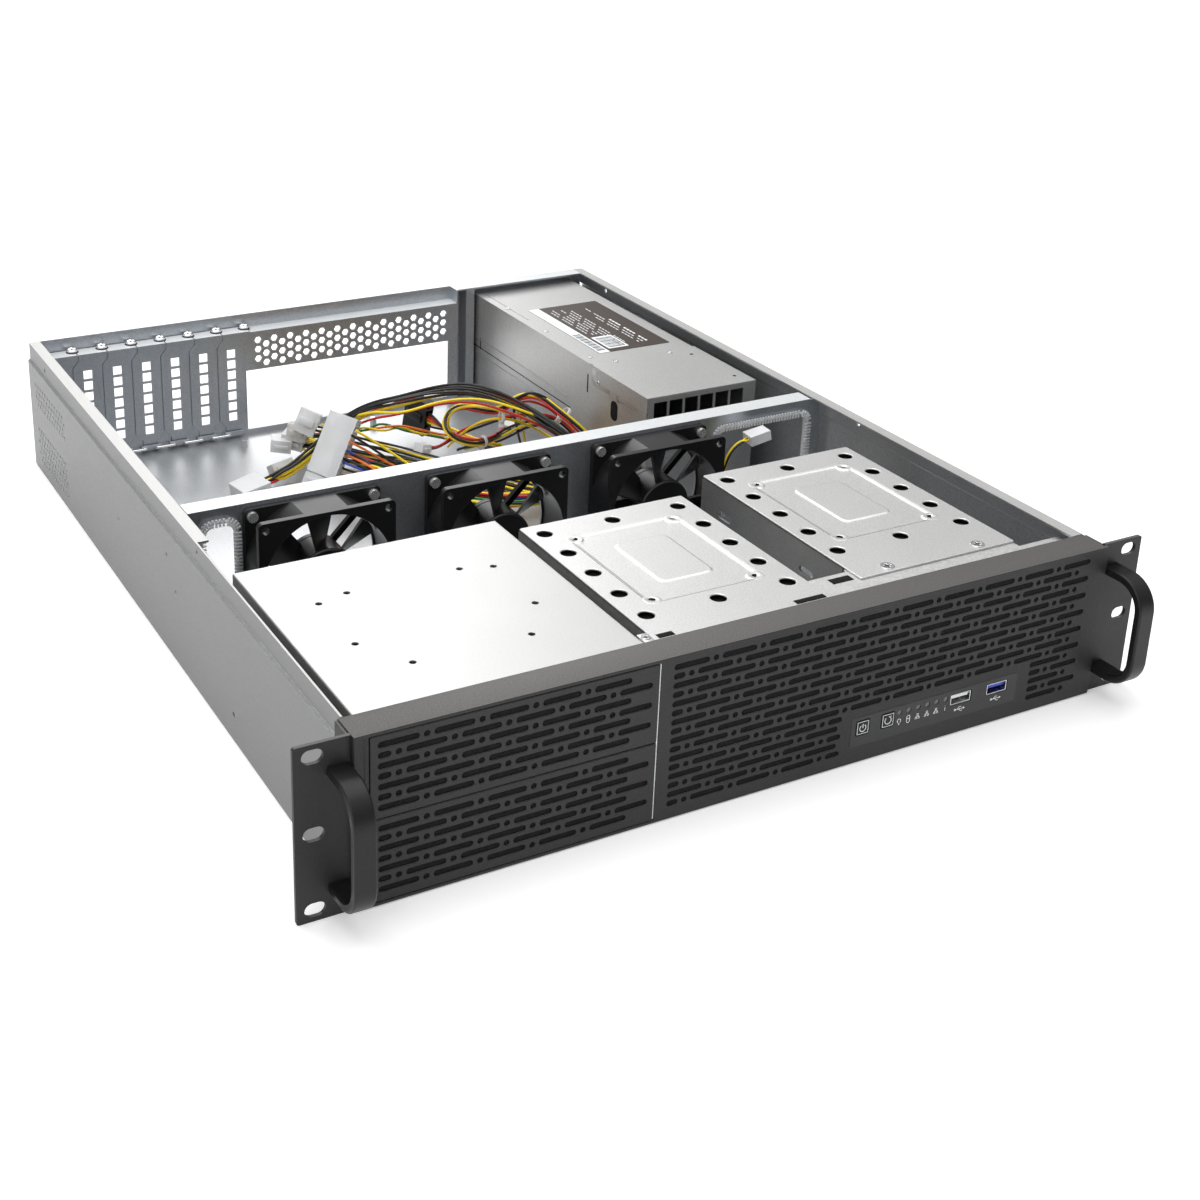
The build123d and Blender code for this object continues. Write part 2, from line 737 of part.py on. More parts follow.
def make_drive_cage(name, x, cage_back, screw_places=()):
    x0 = x - drive_cage_width / 2
    x1 = x + drive_cage_width / 2
    center = cage_back - 11.4 - 2 * large_pitch_y
    front = cage_back - drive_cage_length
    large = grid_places(x, center, large_pitch_x, large_pitch_y, (-2, -1, 0, 1, 2))
    large += [(x, center - 2 * large_pitch_y), (x, center + 2 * large_pitch_y)]
    small = grid_places(x, center, small_pitch_x, small_pitch_y, (-0.5, 0.5))
    with BuildPart() as cage:
        cage_shell(x0, x1, front, cage_back)
        fillet(cage.edges().filter_by(Axis.Y).group_by(Axis.Z)[-1], radius=1.0)
        block(x0, x1, front, front + rail_overlap, sheet, cage_top - cage_sheet, Mode.SUBTRACT)
        if screw_places:
            top_holes(screw_places, 3.5)
        with BuildSketch(Plane.XY.offset(cage_top)):
            with Locations((x, back(center))):
                RectangleRounded(34.0, 50.0, 4.0)
            with Locations(*[(px, back(py)) for px, py in small]):
                Circle(boss_size / 2)
        extrude(amount=0.8)
        top_holes(large, large_hole, 16)
        with BuildSketch(Plane.XY.offset(cage_top + 0.8)):
            with Locations(*[(px, back(py)) for px, py in small]):
                RegularPolygon(radius=small_hole / 2, side_count=12)
        extrude(amount=-3 * cage_sheet, mode=Mode.SUBTRACT)
        with BuildSketch(Plane(origin=(x0, 0, 0), x_dir=(0, 1, 0), z_dir=(1, 0, 0))):
            for row in (-1.5, 1.5):
                with Locations(*[(back(center + row * large_pitch_y), z) for z in (14.0, 41.0, 68.0)]):
                    SlotOverall(12.0, 4.0)
        extrude(amount=drive_cage_width, mode=Mode.SUBTRACT)
    save(cage.part, name)


# Inner front panel behind the bezel, with its top flange under the cages
def make_front_panel():
    inner = wall_x - sheet
    flange_top = cage_top - cage_sheet
    cage_right = bay_cage_left + bay_cage_width
    with BuildPart() as panel:
        knee = joggle_z - joggle_in
        inner_top = upper_x - sheet
        block(-inner, inner, ear_thick, ear_thick + sheet, sheet, knee)
        block(-inner_top, inner_top, ear_thick, ear_thick + sheet, knee, flange_top)
        low = sheet + 1.2
        block(bay_left + 2.0, cage_right - 1.5, ear_thick, ear_thick + sheet, low, flange_top, Mode.SUBTRACT)
        block(grille_left - 1.0, grille_right + 1.0, ear_thick, ear_thick + sheet, 8.0, 78.0, Mode.SUBTRACT)
        block(cage_right + 0.2, inner - 5.0, ear_thick, 26.0, flange_top - sheet, flange_top)
        block(cage_right + 3.0, cage_right + 9.0, 25.0, 30.0, flange_top - sheet, flange_top)
        block(51.6, 76.6, 25.0, 41.0, flange_top - sheet, flange_top)
        block(76.6, 179.6, 25.0, 43.0, flange_top - sheet, flange_top)
        block(36.0, 50.0, 20.5, 27.5, flange_top - sheet, flange_top, Mode.SUBTRACT)
    save(panel.part, "front_panel")


# Bezel: face with the grille, top flange, and a window for the bay covers
def make_bezel():
    half = bezel_width / 2
    face = -bezel_proud
    top = chassis_height
    with BuildPart() as bezel:
        block(-wall_x, half, face, face + bezel_sheet, 0.6, top)
        block(-wall_x, half, face, bezel_flange_depth - bezel_proud, top - bezel_sheet, top)
        block(-wall_x, half, face, ear_thick, 0.6, 0.6 + bezel_sheet)
        block(half - bezel_sheet, half, face, 0.0, 0.6, top)
        block(-wall_x, -wall_x + bezel_sheet, face, 0.0, 0.6, top)
        block(bay_left, bay_right, face, face + bezel_sheet, 2.0, top - bezel_sheet - 0.4, Mode.SUBTRACT)
        fillet(bezel.edges().filter_by(Axis.X).group_by(Axis.Y)[0].group_by(Axis.Z)[-1], radius=1.0)
        with BuildSketch(front_plane(face)):
            draw_openings(grille_pieces())
            with Locations((power_x, control_z), (power_x + button_pitch, control_z)):
                Rectangle(button_size + 2 * button_gap, button_size + 2 * button_gap)
            with Locations((usb_x, usb_z), (usb_x + usb_pitch, usb_z)):
                Rectangle(usb_width + 0.8, usb_height + 0.8)
            with Locations(*[(led_x + index * led_pitch, led_z) for index in range(led_count)]):
                RegularPolygon(radius=led_size / 2 + 0.1, side_count=12)
        extrude(amount=-bezel_sheet, mode=Mode.SUBTRACT)
        post_z = 12.0
        for x in (power_x - 7.0, usb_x + usb_pitch + 12.0):
            block(x - 2.0, x + 2.0, face + bezel_sheet, board_front, post_z - 2.0, post_z + 2.0)
    save(bezel.part, "bezel")


def make_bay_cover(name, z0, z1, top_row):
    x0 = bay_left + cover_gap
    x1 = bay_right - cover_gap
    face = -bezel_proud
    rim = bezel_sheet
    pieces = []
    for row in range(door_rows):
        first = x0 + door_margin - (row % 2) * grille_pitch / 2
        z = top_row - row * door_row_pitch
        pieces += [(a, b, z) for a, b in row_pieces(x0 + door_margin, x1 - door_margin, first)]
    with BuildPart() as cover:
        block(x0, x1, face, face + cover_rim, z0, z1)
        block(x0 + rim, x1 - rim, face + rim, face + cover_rim, z0 + rim, z1 - rim, Mode.SUBTRACT)
        with BuildSketch(front_plane(face)):
            draw_openings(pieces)
        extrude(amount=-bezel_sheet, mode=Mode.SUBTRACT)
        clip_back = bay_cage_front + 6.0
        for x in (x0 + 12.0, x1 - 26.0):
            block(x, x + 14.0, face + bezel_sheet, clip_back, z1 - 4.6, z1 - 3.4)
            block(x, x + 14.0, face + bezel_sheet, clip_back, z0 + 3.4, z0 + 4.6)
    save(cover.part, name)


# Foam dust filters behind the grilles
def make_filters():
    behind = -bezel_proud + bezel_sheet
    thick = 3.0
    cover_left = bay_left + cover_gap + bezel_sheet
    cover_right = bay_right - cover_gap - bezel_sheet
    with BuildPart() as filters:
        block(cover_left, cover_right, behind, behind + thick, cover_split_z + 5.4, chassis_height - 7.2)
        block(cover_left, cover_right, behind, behind + thick, 7.6, cover_split_z - 5.4)
        block(grille_left - 2.0, grille_right + 2.0, behind, behind + thick, 31.0, 85.0)
        block(grille_left - 2.0, panel_cut_left + 1.0, behind, behind + thick, 5.0, 31.0)
        block(panel_cut_right - 1.0, grille_right + 2.0, behind, behind + thick, 5.0, 31.0)
    save(filters.part, "dust_filters")


# Front controls on their small board
def make_controls():
    face = -bezel_proud
    switch_front = board_front - 3.6
    with BuildPart() as board:
        block(power_x - 10.0, usb_x + usb_pitch + 14.0, board_front, board_front + board_thick, 9.0, 30.0)
        for index in range(2):
            x = power_x + index * button_pitch
            block(x - 3.0, x + 3.0, switch_front + 0.8, board_front, control_z - 3.0, control_z + 3.0)
            block(x - 1.6, x + 1.6, switch_front, switch_front + 0.8, control_z - 1.6, control_z + 1.6)
    save(board.part, "io_board")
    for index, name in enumerate(("power_button", "reset_button")):
        x = power_x + index * button_pitch
        half = button_size / 2
        flange_front = face + bezel_sheet + button_gap
        with BuildPart() as button:
            block(x - half, x + half, face - 0.3, flange_front, control_z - half, control_z + half)
            fillet(button.edges().filter_by(Axis.Y), radius=0.8)
            stop = half + 1.2
            stem_front = flange_front + 1.0
            block(x - stop, x + stop, flange_front, stem_front, control_z - stop, control_z + stop)
            block(x - 2.0, x + 2.0, stem_front, switch_front - stem_gap, control_z - 2.0, control_z + 2.0)
        save(button.part, name)
    with BuildPart() as leds:
        for index in range(led_count):
            place = (led_x + index * led_pitch, back(board_front), led_z)
            with BuildSketch(Plane(origin=place, x_dir=(1, 0, 0), z_dir=(0, -1, 0))):
                Circle(led_size / 2 - 0.1)
            extrude(amount=board_front - face - 0.3)
    save(leds.part, "status_leds")
    for index, name in enumerate(("usb2_port", "usb3_port")):
        x = usb_x + index * usb_pitch
        with BuildPart() as port:
            outer_x = usb_width / 2
            outer_z = usb_height / 2
            inner_x = outer_x - 0.4
            inner_z = outer_z - 0.4
            end = board_front - 1.0
            block(x - outer_x, x + outer_x, face + 0.2, board_front, usb_z - outer_z, usb_z + outer_z)
            block(x - inner_x, x + inner_x, face + 0.2, end, usb_z - inner_z, usb_z + inner_z, Mode.SUBTRACT)
            block(x - inner_x + 0.5, x + inner_x - 0.5, face + 1.2, end, usb_z + 0.2, usb_z + inner_z - 0.3)
        save(port.part, name)


# Rack ears and bow handles
def make_ear(name, side):
    inner = wall_x
    outer = ear_span / 2
    x0, x1 = sorted((side * inner, side * outer))
    f0, f1 = sorted((side * inner, side * (inner + sheet)))
    with BuildPart() as ear:
        block(x0, x1, 0, ear_thick, 0.0, chassis_height)
        block(f0, f1, 0, ear_return_depth, 0.0, chassis_height - 1.0)
        fillet(ear.edges().filter_by(Axis.Y).group_by(Axis.X)[-1 if side > 0 else 0], radius=1.5)
        with BuildSketch(front_plane(0)):
            for row in (-1, 0, 1):
                with Locations((side * slot_pitch_x / 2, chassis_height / 2 + row * slot_pitch_z)):
                    SlotOverall(slot_length, slot_width)
        extrude(amount=-ear_thick, mode=Mode.SUBTRACT)
    save(ear.part, name)


def make_handle(name, side):
    low = chassis_height / 2 - handle_height / 2 + handle_bar / 2
    high = chassis_height / 2 + handle_height / 2 - handle_bar / 2
    out = back(-handle_reach + handle_bar / 2)
    foot = back(0)
    x = side * handle_offset
    with BuildPart() as handle:
        with BuildLine() as path:
            FilletPolyline((x, foot, low), (x, out, low), (x, out, high), (x, foot, high), radius=handle_bend)
        with BuildSketch(Plane(origin=(x, foot, low), x_dir=(1, 0, 0), z_dir=(0, -1, 0))):
            RectangleRounded(handle_width, handle_bar, 1.2)
        sweep(path=path.line)
    save(handle.part, name)


# Board standoffs on the floor
def make_standoffs():
    columns = (-160.0, -77.0, 22.0)
    rows = (300.0, 427.0, 515.0)
    with BuildPart() as standoffs:
        for x in columns:
            for depth in rows:
                with BuildSketch(Plane(origin=(x, back(depth), sheet), z_dir=(0, 0, 1))):
                    RegularPolygon(radius=standoff_size / 2, side_count=6)
                extrude(amount=standoff_height)
    save(standoffs.part, "standoffs")


# Leads of the power supply: straight runs joined by wide arcs
def soft_radii(points):
    radii = []
    for before, here, after in zip(points, points[1:], points[2:]):
        a = Vector(*here) - Vector(*before)
        b = Vector(*after) - Vector(*here)
        turn = a.get_angle(b)
        radii.append(0.45 * min(a.length, b.length) / tan(radians(turn) / 2))
    return radii


def make_lead(name, route, size):
    points = [(x, back(depth), z) for x, depth, z in route]
    radii = soft_radii(points)
    first = Vector(*points[0])
    direction = (Vector(*points[1]) - first).normalized()
    start = first - direction * size
    points[0] = (start.X, start.Y, start.Z)
    out_x = route[0][0]
    far_x = out_x + (3 * size if start.X > out_x else -3 * size)
    near_x, wide_x = sorted((out_x, far_x))
    with BuildPart() as lead:
        with BuildLine() as path:
            FilletPolyline(*points, radius=radii)
        with BuildSketch(Plane(origin=start, z_dir=direction)):
            Circle(size / 2)
        sweep(path=path.line)
        # The end is cut flush with the face that the lead comes out of.
        depth, z = route[0][1:]
        block(near_x, wide_x, depth - 3 * size, depth + 3 * size, z - 3 * size, z + 3 * size, Mode.SUBTRACT)
    length = sum(edge.length for edge in path.line.edges()) - size
    ideal = pi * size * size / 4 * length
    fill = round(lead.part.volume / ideal, 3)
    print(name, "length", round(length), "radii", [round(r) for r in radii], "fill", fill)
    save(lead.part, name)


def make_plug(name, width, height, length, end, before, lean=0.0):
    # The plug's body goes on from the lead's last point, along its last run.
    tip = Vector(end[0], back(end[1]), end[2])
    tail = Vector(before[0], back(before[1]), before[2])
    with BuildPart() as plug:
        with BuildSketch(Plane(origin=tip, z_dir=tip - tail, x_dir=side_axis(tip - tail))):
            Rectangle(width, height, rotation=lean)
        extrude(amount=length)
        chamfer(plug.edges().group_by(SortBy.LENGTH)[-1], length=0.8)
    save(plug.part, name)


def side_axis(direction):
    return Vector(0, 0, 1).cross(direction)


gland_face = psu_left - 2.0
fan_side = fan_x(2) + fan_size / 2
main_route = [(gland_face, 309, 20), (90, 319, 16), (55, 332, 10), (23, 344, 9.5), (-2, 369, 12)]
main_route += [(-22, 388, 20), (-44, 410, 28)]
cpu_route = [(gland_face, 323, 13), (91, 330, 8), (66, 350, 5.5), (45, 380, 5.2), (21, 412, 5.4)]
cpu_route += [(-6, 440, 6.5), (-26, 463, 10), (-45, 478, 14)]
sata_route = [(gland_face, 348, 15), (103, 361, 19), (88, 390, 14), (73, 412, 12), (58, 430, 14)]
sata_route += [(48, 449, 18), (42, 464, 21)]
arch_route = [(gland_face, 333, 26), (98, 350, 34), (84, 360, 46), (71, 375, 56), (56, 389, 63)]
arch_route += [(40, 402, 66), (18, 405, 66), (-4, 408, 62), (-18, 424, 54), (-30, 436, 43)]
arch_route += [(-45, 438, 31), (-61, 439, 19), (-76, 437, 11.7), (-93, 434, 9.0)]
loop_route = [(gland_face, 354, 29), (103, 359, 43), (94, 370, 52), (86, 384, 60), (74, 390, 59)]
loop_route += [(66, 391, 53), (60, 396, 48), (54, 410, 46), (48, 424, 45), (39, 426, 41)]
loop_route += [(32, 419, 35), (33, 406, 30), (43, 397, 27), (60, 400, 26), (77, 413, 26)]
fan_lead_route = [(fan_side, 231, 42), (130, 231, 46), (132.5, 231, 56), (135.5, 231, 66)]
fan_lead_route += [(142, 230.5, 73), (148, 230, 74.2)]


def make_leads():
    with BuildPart() as gland:
        plane = Plane(origin=(psu_left, back(gland_depth), gland_z), x_dir=(0, 1, 0), z_dir=(-1, 0, 0))
        with BuildSketch(plane):
            RectangleRounded(gland_length + 4.0, gland_height + 4.0, 4.0)
        extrude(amount=2.0)
        with BuildSketch(plane):
            Rectangle(gland_length - 0.4, gland_height - 0.4)
        extrude(amount=-1.0)
    save(gland.part, "psu_gland")
    make_lead("lead_main", main_route, 11.0)
    make_lead("lead_cpu", cpu_route, 7.0)
    make_lead("lead_sata", sata_route, 7.0)
    make_lead("lead_arch", arch_route, 7.0)
    make_lead("lead_loop", loop_route, 3.2)
    make_lead("lead_fan", fan_lead_route, 2.6)
    make_plug("plug_main", 13.0, 51.6, 20.0, main_route[-1], main_route[-2], 27.0)
    make_plug("plug_cpu", 18.0, 10.0, 16.0, cpu_route[-1], cpu_route[-2])
    make_plug("plug_sata", 8.0, 26.0, 20.0, sata_route[-1], sata_route[-2])
    make_plug("plug_drive", 22.0, 9.0, 20.0, arch_route[-1], arch_route[-2])
    make_plug("plug_loop", 9.0, 6.0, 11.0, loop_route[-1], loop_route[-2])
    make_plug("plug_fan", 10.5, 6.4, 14.0, fan_lead_route[-1], fan_lead_route[-2])


make_chassis()
make_rear_panel()
make_slot_covers()
make_slot_screws()
make_fan_wall()
make_fans()
make_psu()
make_psu_rear()
make_case_screws()
make_bay_cage()
make_drive_cage("drive_cage_middle", middle_cage_x, middle_cage_back)
make_drive_cage("drive_cage_right", right_cage_x, right_cage_back, cage_screws())
make_front_panel()
make_bezel()
make_bay_cover("bay_cover_upper", cover_split_z + 0.4, chassis_height - 2.2, door_top_z)
make_bay_cover("bay_cover_lower", 2.6, cover_split_z - 0.4, door_top_z - 8 * door_row_pitch)
make_filters()
make_controls()
make_ear("ear_left", -1)
make_ear("ear_right", 1)
make_handle("handle_left", -1)
make_handle("handle_right", 1)
make_standoffs()
make_leads()
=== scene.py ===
import json
import math

import bpy
import numpy as np
from mathutils import Matrix, Vector

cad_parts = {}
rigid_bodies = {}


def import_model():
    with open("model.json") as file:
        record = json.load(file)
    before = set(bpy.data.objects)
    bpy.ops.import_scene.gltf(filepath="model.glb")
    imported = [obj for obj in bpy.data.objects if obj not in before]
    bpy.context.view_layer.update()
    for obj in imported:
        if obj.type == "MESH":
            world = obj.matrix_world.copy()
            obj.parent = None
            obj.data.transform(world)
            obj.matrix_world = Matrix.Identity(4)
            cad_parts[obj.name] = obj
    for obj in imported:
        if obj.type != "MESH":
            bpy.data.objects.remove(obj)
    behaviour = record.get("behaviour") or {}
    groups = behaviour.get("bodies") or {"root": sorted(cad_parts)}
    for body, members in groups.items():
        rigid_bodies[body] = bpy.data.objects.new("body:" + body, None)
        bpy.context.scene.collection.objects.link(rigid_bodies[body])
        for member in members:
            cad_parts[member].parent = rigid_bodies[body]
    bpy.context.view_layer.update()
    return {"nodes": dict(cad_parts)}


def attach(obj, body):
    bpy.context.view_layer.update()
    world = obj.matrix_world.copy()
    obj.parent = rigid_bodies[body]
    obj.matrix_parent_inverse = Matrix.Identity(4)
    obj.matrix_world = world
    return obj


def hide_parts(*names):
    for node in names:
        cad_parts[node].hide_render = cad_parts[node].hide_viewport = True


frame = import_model()
nodes = frame["nodes"]

# The case's own measures in millimetres: x to the right, depth back from the front face of the ears, z up
case = {"earFace": -261.6, "halfWidth": 215.0, "height": 88.0}


def at(x, depth, z):
    return Vector((x / 1000, (case["earFace"] + depth) / 1000, z / 1000))


# Stage

studio = {
    "floorTone": 0.93, "floorGlow": 0.22, "floorSize": 24.0, "floorBack": 4.0, "skyTop": 1.25,
    "skyMiddle": 0.42, "skyLow": 0.16, "skyPower": 0.85, "overheadPower": 24.5, "overheadSize": 2.2,
    "sidePower": 13.0, "sideSize": 1.3, "rearPower": 9.0, "rearSize": 1.0,
}


def makeWorld():
    world = bpy.data.worlds.new("studio")
    bpy.context.scene.world = world
    world.use_nodes = True
    tree = world.node_tree
    background = tree.nodes["Background"]
    place = tree.nodes.new("ShaderNodeTexCoord")
    split = tree.nodes.new("ShaderNodeSeparateXYZ")
    ramp = tree.nodes.new("ShaderNodeValToRGB")
    stops = ramp.color_ramp
    stops.interpolation = "EASE"
    stops.elements[0].position = 0.0
    stops.elements[0].color = (studio["skyLow"],) * 3 + (1,)
    stops.elements[1].position = 0.85
    stops.elements[1].color = (studio["skyTop"],) * 3 + (1,)
    middle = stops.elements.new(0.42)  # a band of dusk between the floor and the soft box
    middle.color = (studio["skyMiddle"],) * 3 + (1,)
    tree.links.new(place.outputs["Generated"], split.inputs[0])
    tree.links.new(split.outputs["Z"], ramp.inputs["Fac"])
    tree.links.new(ramp.outputs["Color"], background.inputs["Color"])
    background.inputs["Strength"].default_value = studio["skyPower"]
    bpy.context.scene.view_settings.view_transform = "Standard"


def makeLights():
    spots = [
        ("overhead", (-0.1, 0.25, 1.8), (0.0, 0.05, 0.0), studio["overheadPower"], studio["overheadSize"]),
        ("frontFill", (-1.9, -1.0, 0.9), (0.0, -0.1, 0.05), studio["sidePower"], studio["sideSize"]),
        ("rearSoft", (0.5, 1.9, 1.1), (0.0, 0.1, 0.05), studio["rearPower"], studio["rearSize"]),
    ]
    for name, place, target, power, size in spots:
        bpy.ops.object.light_add(type="AREA", location=place)
        lamp = bpy.context.object
        lamp.name = name
        lamp.data.energy = power
        lamp.data.size = size
        aim = Vector(target) - Vector(place)
        lamp.rotation_euler = aim.to_track_quat("-Z", "Y").to_euler()


def makeFloor():
    bpy.ops.mesh.primitive_plane_add(size=studio["floorSize"], location=(0, studio["floorBack"], 0))
    floor = bpy.context.object
    floor.name = "floor"
    paint = bpy.data.materials.new("floorPaint")
    paint.use_nodes = True
    shader = paint.node_tree.nodes["Principled BSDF"]
    tone = studio["floorTone"]
    shader.inputs["Base Color"].default_value = (tone, tone, tone, 1)
    shader.inputs["Roughness"].default_value = 0.7
    shader.inputs["Specular IOR Level"].default_value = 0.1
    shader.inputs["Emission Color"].default_value = (1, 1, 1, 1)
    shader.inputs["Emission Strength"].default_value = studio["floorGlow"]
    floor.data.materials.append(paint)


# Where the photograph was taken from: case millimetres, degrees, and the lens in pixels of its frame
view = {
    "x": -470.3, "depth": -607.6, "z": 490.8, "yaw": 28.65, "pitch": -20.91, "roll": 1.4,
    "focal": 1803.7, "frame": 1200, "sensor": 36, "shiftX": 0.067, "shiftY": -0.167,
}


def makeCamera():
    yaw, pitch, roll = (math.radians(view[k]) for k in ("yaw", "pitch", "roll"))
    forward = Vector((math.sin(yaw) * math.cos(pitch), math.cos(yaw) * math.cos(pitch), math.sin(pitch)))
    right = Vector((math.cos(yaw), -math.sin(yaw), 0))
    up = right.cross(forward)
    turnedRight = right * math.cos(roll) + up * math.sin(roll)
    turnedUp = up * math.cos(roll) - right * math.sin(roll)
    data = bpy.data.cameras.new("camera")
    camera = bpy.data.objects.new("camera", data)
    bpy.context.collection.objects.link(camera)
    turn = Matrix((turnedRight, turnedUp, -forward)).transposed()
    camera.matrix_world = Matrix.Translation(at(view["x"], view["depth"], view["z"])) @ turn.to_4x4()
    data.sensor_width = view["sensor"]
    data.lens = view["focal"] / view["frame"] * view["sensor"]
    data.shift_x = view["shiftX"]
    data.shift_y = view["shiftY"]
    data.clip_start = 0.01
    data.clip_end = 60
    bpy.context.scene.camera = camera


makeWorld()
makeLights()
makeFloor()
makeCamera()
print("stage ready")


# Finishes

finishes = {}


def newFinish(name):
    finish = bpy.data.materials.new(name)
    finish.use_nodes = True
    finishes[name] = finish
    tree = finish.node_tree
    place = tree.nodes.new("ShaderNodeTexCoord")
    return tree, tree.nodes["Principled BSDF"], place.outputs["Object"]


def addNoise(tree, place, scale, detail=2.0, roughness=0.5):
    noise = tree.nodes.new("ShaderNodeTexNoise")
    noise.inputs["Scale"].default_value = scale
    noise.inputs["Detail"].default_value = detail
    noise.inputs["Roughness"].default_value = roughness
    tree.links.new(place, noise.inputs["Vector"])
    return noise.outputs["Fac"]


def mapTo(tree, value, low, high, start=0.3, end=0.7):
    ramp = tree.nodes.new("ShaderNodeMapRange")
    ramp.inputs["From Min"].default_value = start
    ramp.inputs["From Max"].default_value = end
    ramp.inputs["To Min"].default_value = low
    ramp.inputs["To Max"].default_value = high
    tree.links.new(value, ramp.inputs["Value"])
    return ramp.outputs[0]


def mixTone(tree, value, first, second):
    mix = tree.nodes.new("ShaderNodeMix")
    mix.data_type = "RGBA"
    mix.inputs["A"].default_value = (*first, 1)
    mix.inputs["B"].default_value = (*second, 1)
    tree.links.new(value, mix.inputs["Factor"])
    return mix.outputs["Result"]


def mixLink(tree, value, first, second):
    mix = tree.nodes.new("ShaderNodeMix")
    mix.data_type = "RGBA"
    for source, socket in ((first, "A"), (second, "B"), (value, "Factor")):
        tree.links.new(source, mix.inputs[socket])
    return mix.outputs["Result"]


def splitAxes(tree, source):
    split = tree.nodes.new("ShaderNodeSeparateXYZ")
    tree.links.new(source, split.inputs[0])
    return split.outputs


def multiply(tree, first, second):
    product = tree.nodes.new("ShaderNodeMath")
    product.operation = "MULTIPLY"
    tree.links.new(first, product.inputs[0])
    tree.links.new(second, product.inputs[1])
    return product.outputs[0]


grainDepth = 0.0002  # metres


def addRelief(tree, shader, height, strength, distance, edge=0.0):
    relief = tree.nodes.new("ShaderNodeBump")
    relief.inputs["Strength"].default_value = strength
    relief.inputs["Distance"].default_value = distance
    tree.links.new(height, relief.inputs["Height"])
    if edge:
        rounding = tree.nodes.new("ShaderNodeBevel")
        rounding.samples = 4
        rounding.inputs["Radius"].default_value = edge
        tree.links.new(rounding.outputs[0], relief.inputs["Normal"])
    tree.links.new(relief.outputs[0], shader.inputs["Normal"])


def sheetFinish(name, tone, shade, rough, metal, speckScale, edge=0.0004, relief=0.12, top=None, outer=None):
    # Sheet metal: fine speckle, slow patches of haze and softly broken edges
    tree, shader, place = newFinish(name)
    speck = addNoise(tree, place, speckScale, 1.5, 0.7)
    haze = addNoise(tree, place, 9.0, 3.0, 0.55)
    blend = tree.nodes.new("ShaderNodeMath")
    blend.operation = "MULTIPLY_ADD"
    blend.inputs[1].default_value = 0.75
    tree.links.new(mapTo(tree, speck, 0.0, 1.0, 0.32, 0.68), blend.inputs[0])
    tree.links.new(mapTo(tree, haze, 0.0, 0.25), blend.inputs[2])
    colour = mixTone(tree, blend.outputs[0], shade, tone)
    shader.inputs["Metallic"].default_value = metal
    if top:
        # Painted light: faces that look up near the top get a paler, less metallic tone. Painted shade: the
        # outer faces of the side walls get a darker, less metallic tone.
        way = splitAxes(tree, tree.nodes["Texture Coordinate"].outputs["Normal"])
        spot = splitAxes(tree, place)
        facingUp = mapTo(tree, way["Z"], 0.0, 1.0, 0.75, 0.95)
        high = mapTo(tree, spot["Z"], 0.0, 1.0, 0.055, 0.06)  # metres above the floor
        paintedTopLightMask = multiply(tree, facingUp, high)
        shadeOfTop = tuple(0.86 * c for c in top)
        colour = mixLink(tree, paintedTopLightMask, colour, mixTone(tree, blend.outputs[0], shadeOfTop, top))
        grey = mapTo(tree, paintedTopLightMask, metal, 0.25, 0.0, 1.0)
        if outer:
            away = multiply(tree, way["X"], spot["X"])
            far = multiply(tree, spot["X"], spot["X"])
            facingOut = mapTo(tree, away, 0.0, 1.0, 0.19, 0.2)
            atWall = mapTo(tree, far, 0.0, 1.0, 0.0438, 0.0441)  # the square of about 0.21 m
            paintedOuterShadeMask = multiply(tree, facingOut, atWall)
            shadeOfOuter = tuple(0.8 * c for c in outer)
            colour = mixLink(tree, paintedOuterShadeMask, colour, mixTone(tree, blend.outputs[0], shadeOfOuter, outer))
            grey = multiply(tree, grey, mapTo(tree, paintedOuterShadeMask, 1.0, 0.35, 0.0, 1.0))
        tree.links.new(grey, shader.inputs["Metallic"])
    tree.links.new(colour, shader.inputs["Base Color"])
    tree.links.new(mapTo(tree, speck, rough - 0.05, rough + 0.08), shader.inputs["Roughness"])
    addRelief(tree, shader, speck, relief, grainDepth, edge)


def coatFinish(name, tone, rough, grainScale, relief, edge=0.0004, sheen=0.5, top=None):
    # Powder coat or moulded plastic: a fine grain and a slightly uneven gloss
    tree, shader, place = newFinish(name)
    grain = addNoise(tree, place, grainScale, 2.0, 0.6)
    patch = addNoise(tree, place, 14.0, 2.0, 0.5)
    lighter = tuple(min(1.0, c * 1.35 + 0.004) for c in tone)
    amount = mapTo(tree, grain, 0.0, 1.0, 0.35, 0.75)
    colour = mixTone(tree, amount, tone, lighter)
    if top:
        # Faces that look up are painted paler: dust, and painted light from above
        way = splitAxes(tree, tree.nodes["Texture Coordinate"].outputs["Normal"])
        paler = mixTone(tree, amount, tuple(0.6 * c for c in top), top)
        colour = mixLink(tree, mapTo(tree, way["Z"], 0.0, 1.0, 0.8, 0.98), colour, paler)
    tree.links.new(colour, shader.inputs["Base Color"])
    tree.links.new(mapTo(tree, patch, rough - 0.04, rough + 0.06), shader.inputs["Roughness"])
    shader.inputs["Specular IOR Level"].default_value = sheen
    addRelief(tree, shader, grain, relief, grainDepth, edge)


def milkyFinish(name, tone, rough=0.32):
    tree, shader, place = newFinish(name)
    cloud = addNoise(tree, place, 60.0, 2.0)
    paler = tuple(min(1.0, c * 1.06) for c in tone)
    tree.links.new(mixTone(tree, cloud, tone, paler), shader.inputs["Base Color"])
    shader.inputs["Roughness"].default_value = rough
    shader.inputs["Transmission Weight"].default_value = 0.35
    shader.inputs["IOR"].default_value = 1.42
    shader.inputs["Subsurface Weight"].default_value = 0.25
    shader.inputs["Subsurface Radius"].default_value = (0.003, 0.003, 0.003)
    shader.inputs["Subsurface Scale"].default_value = 1.0
    addRelief(tree, shader, cloud, 0.05, grainDepth)
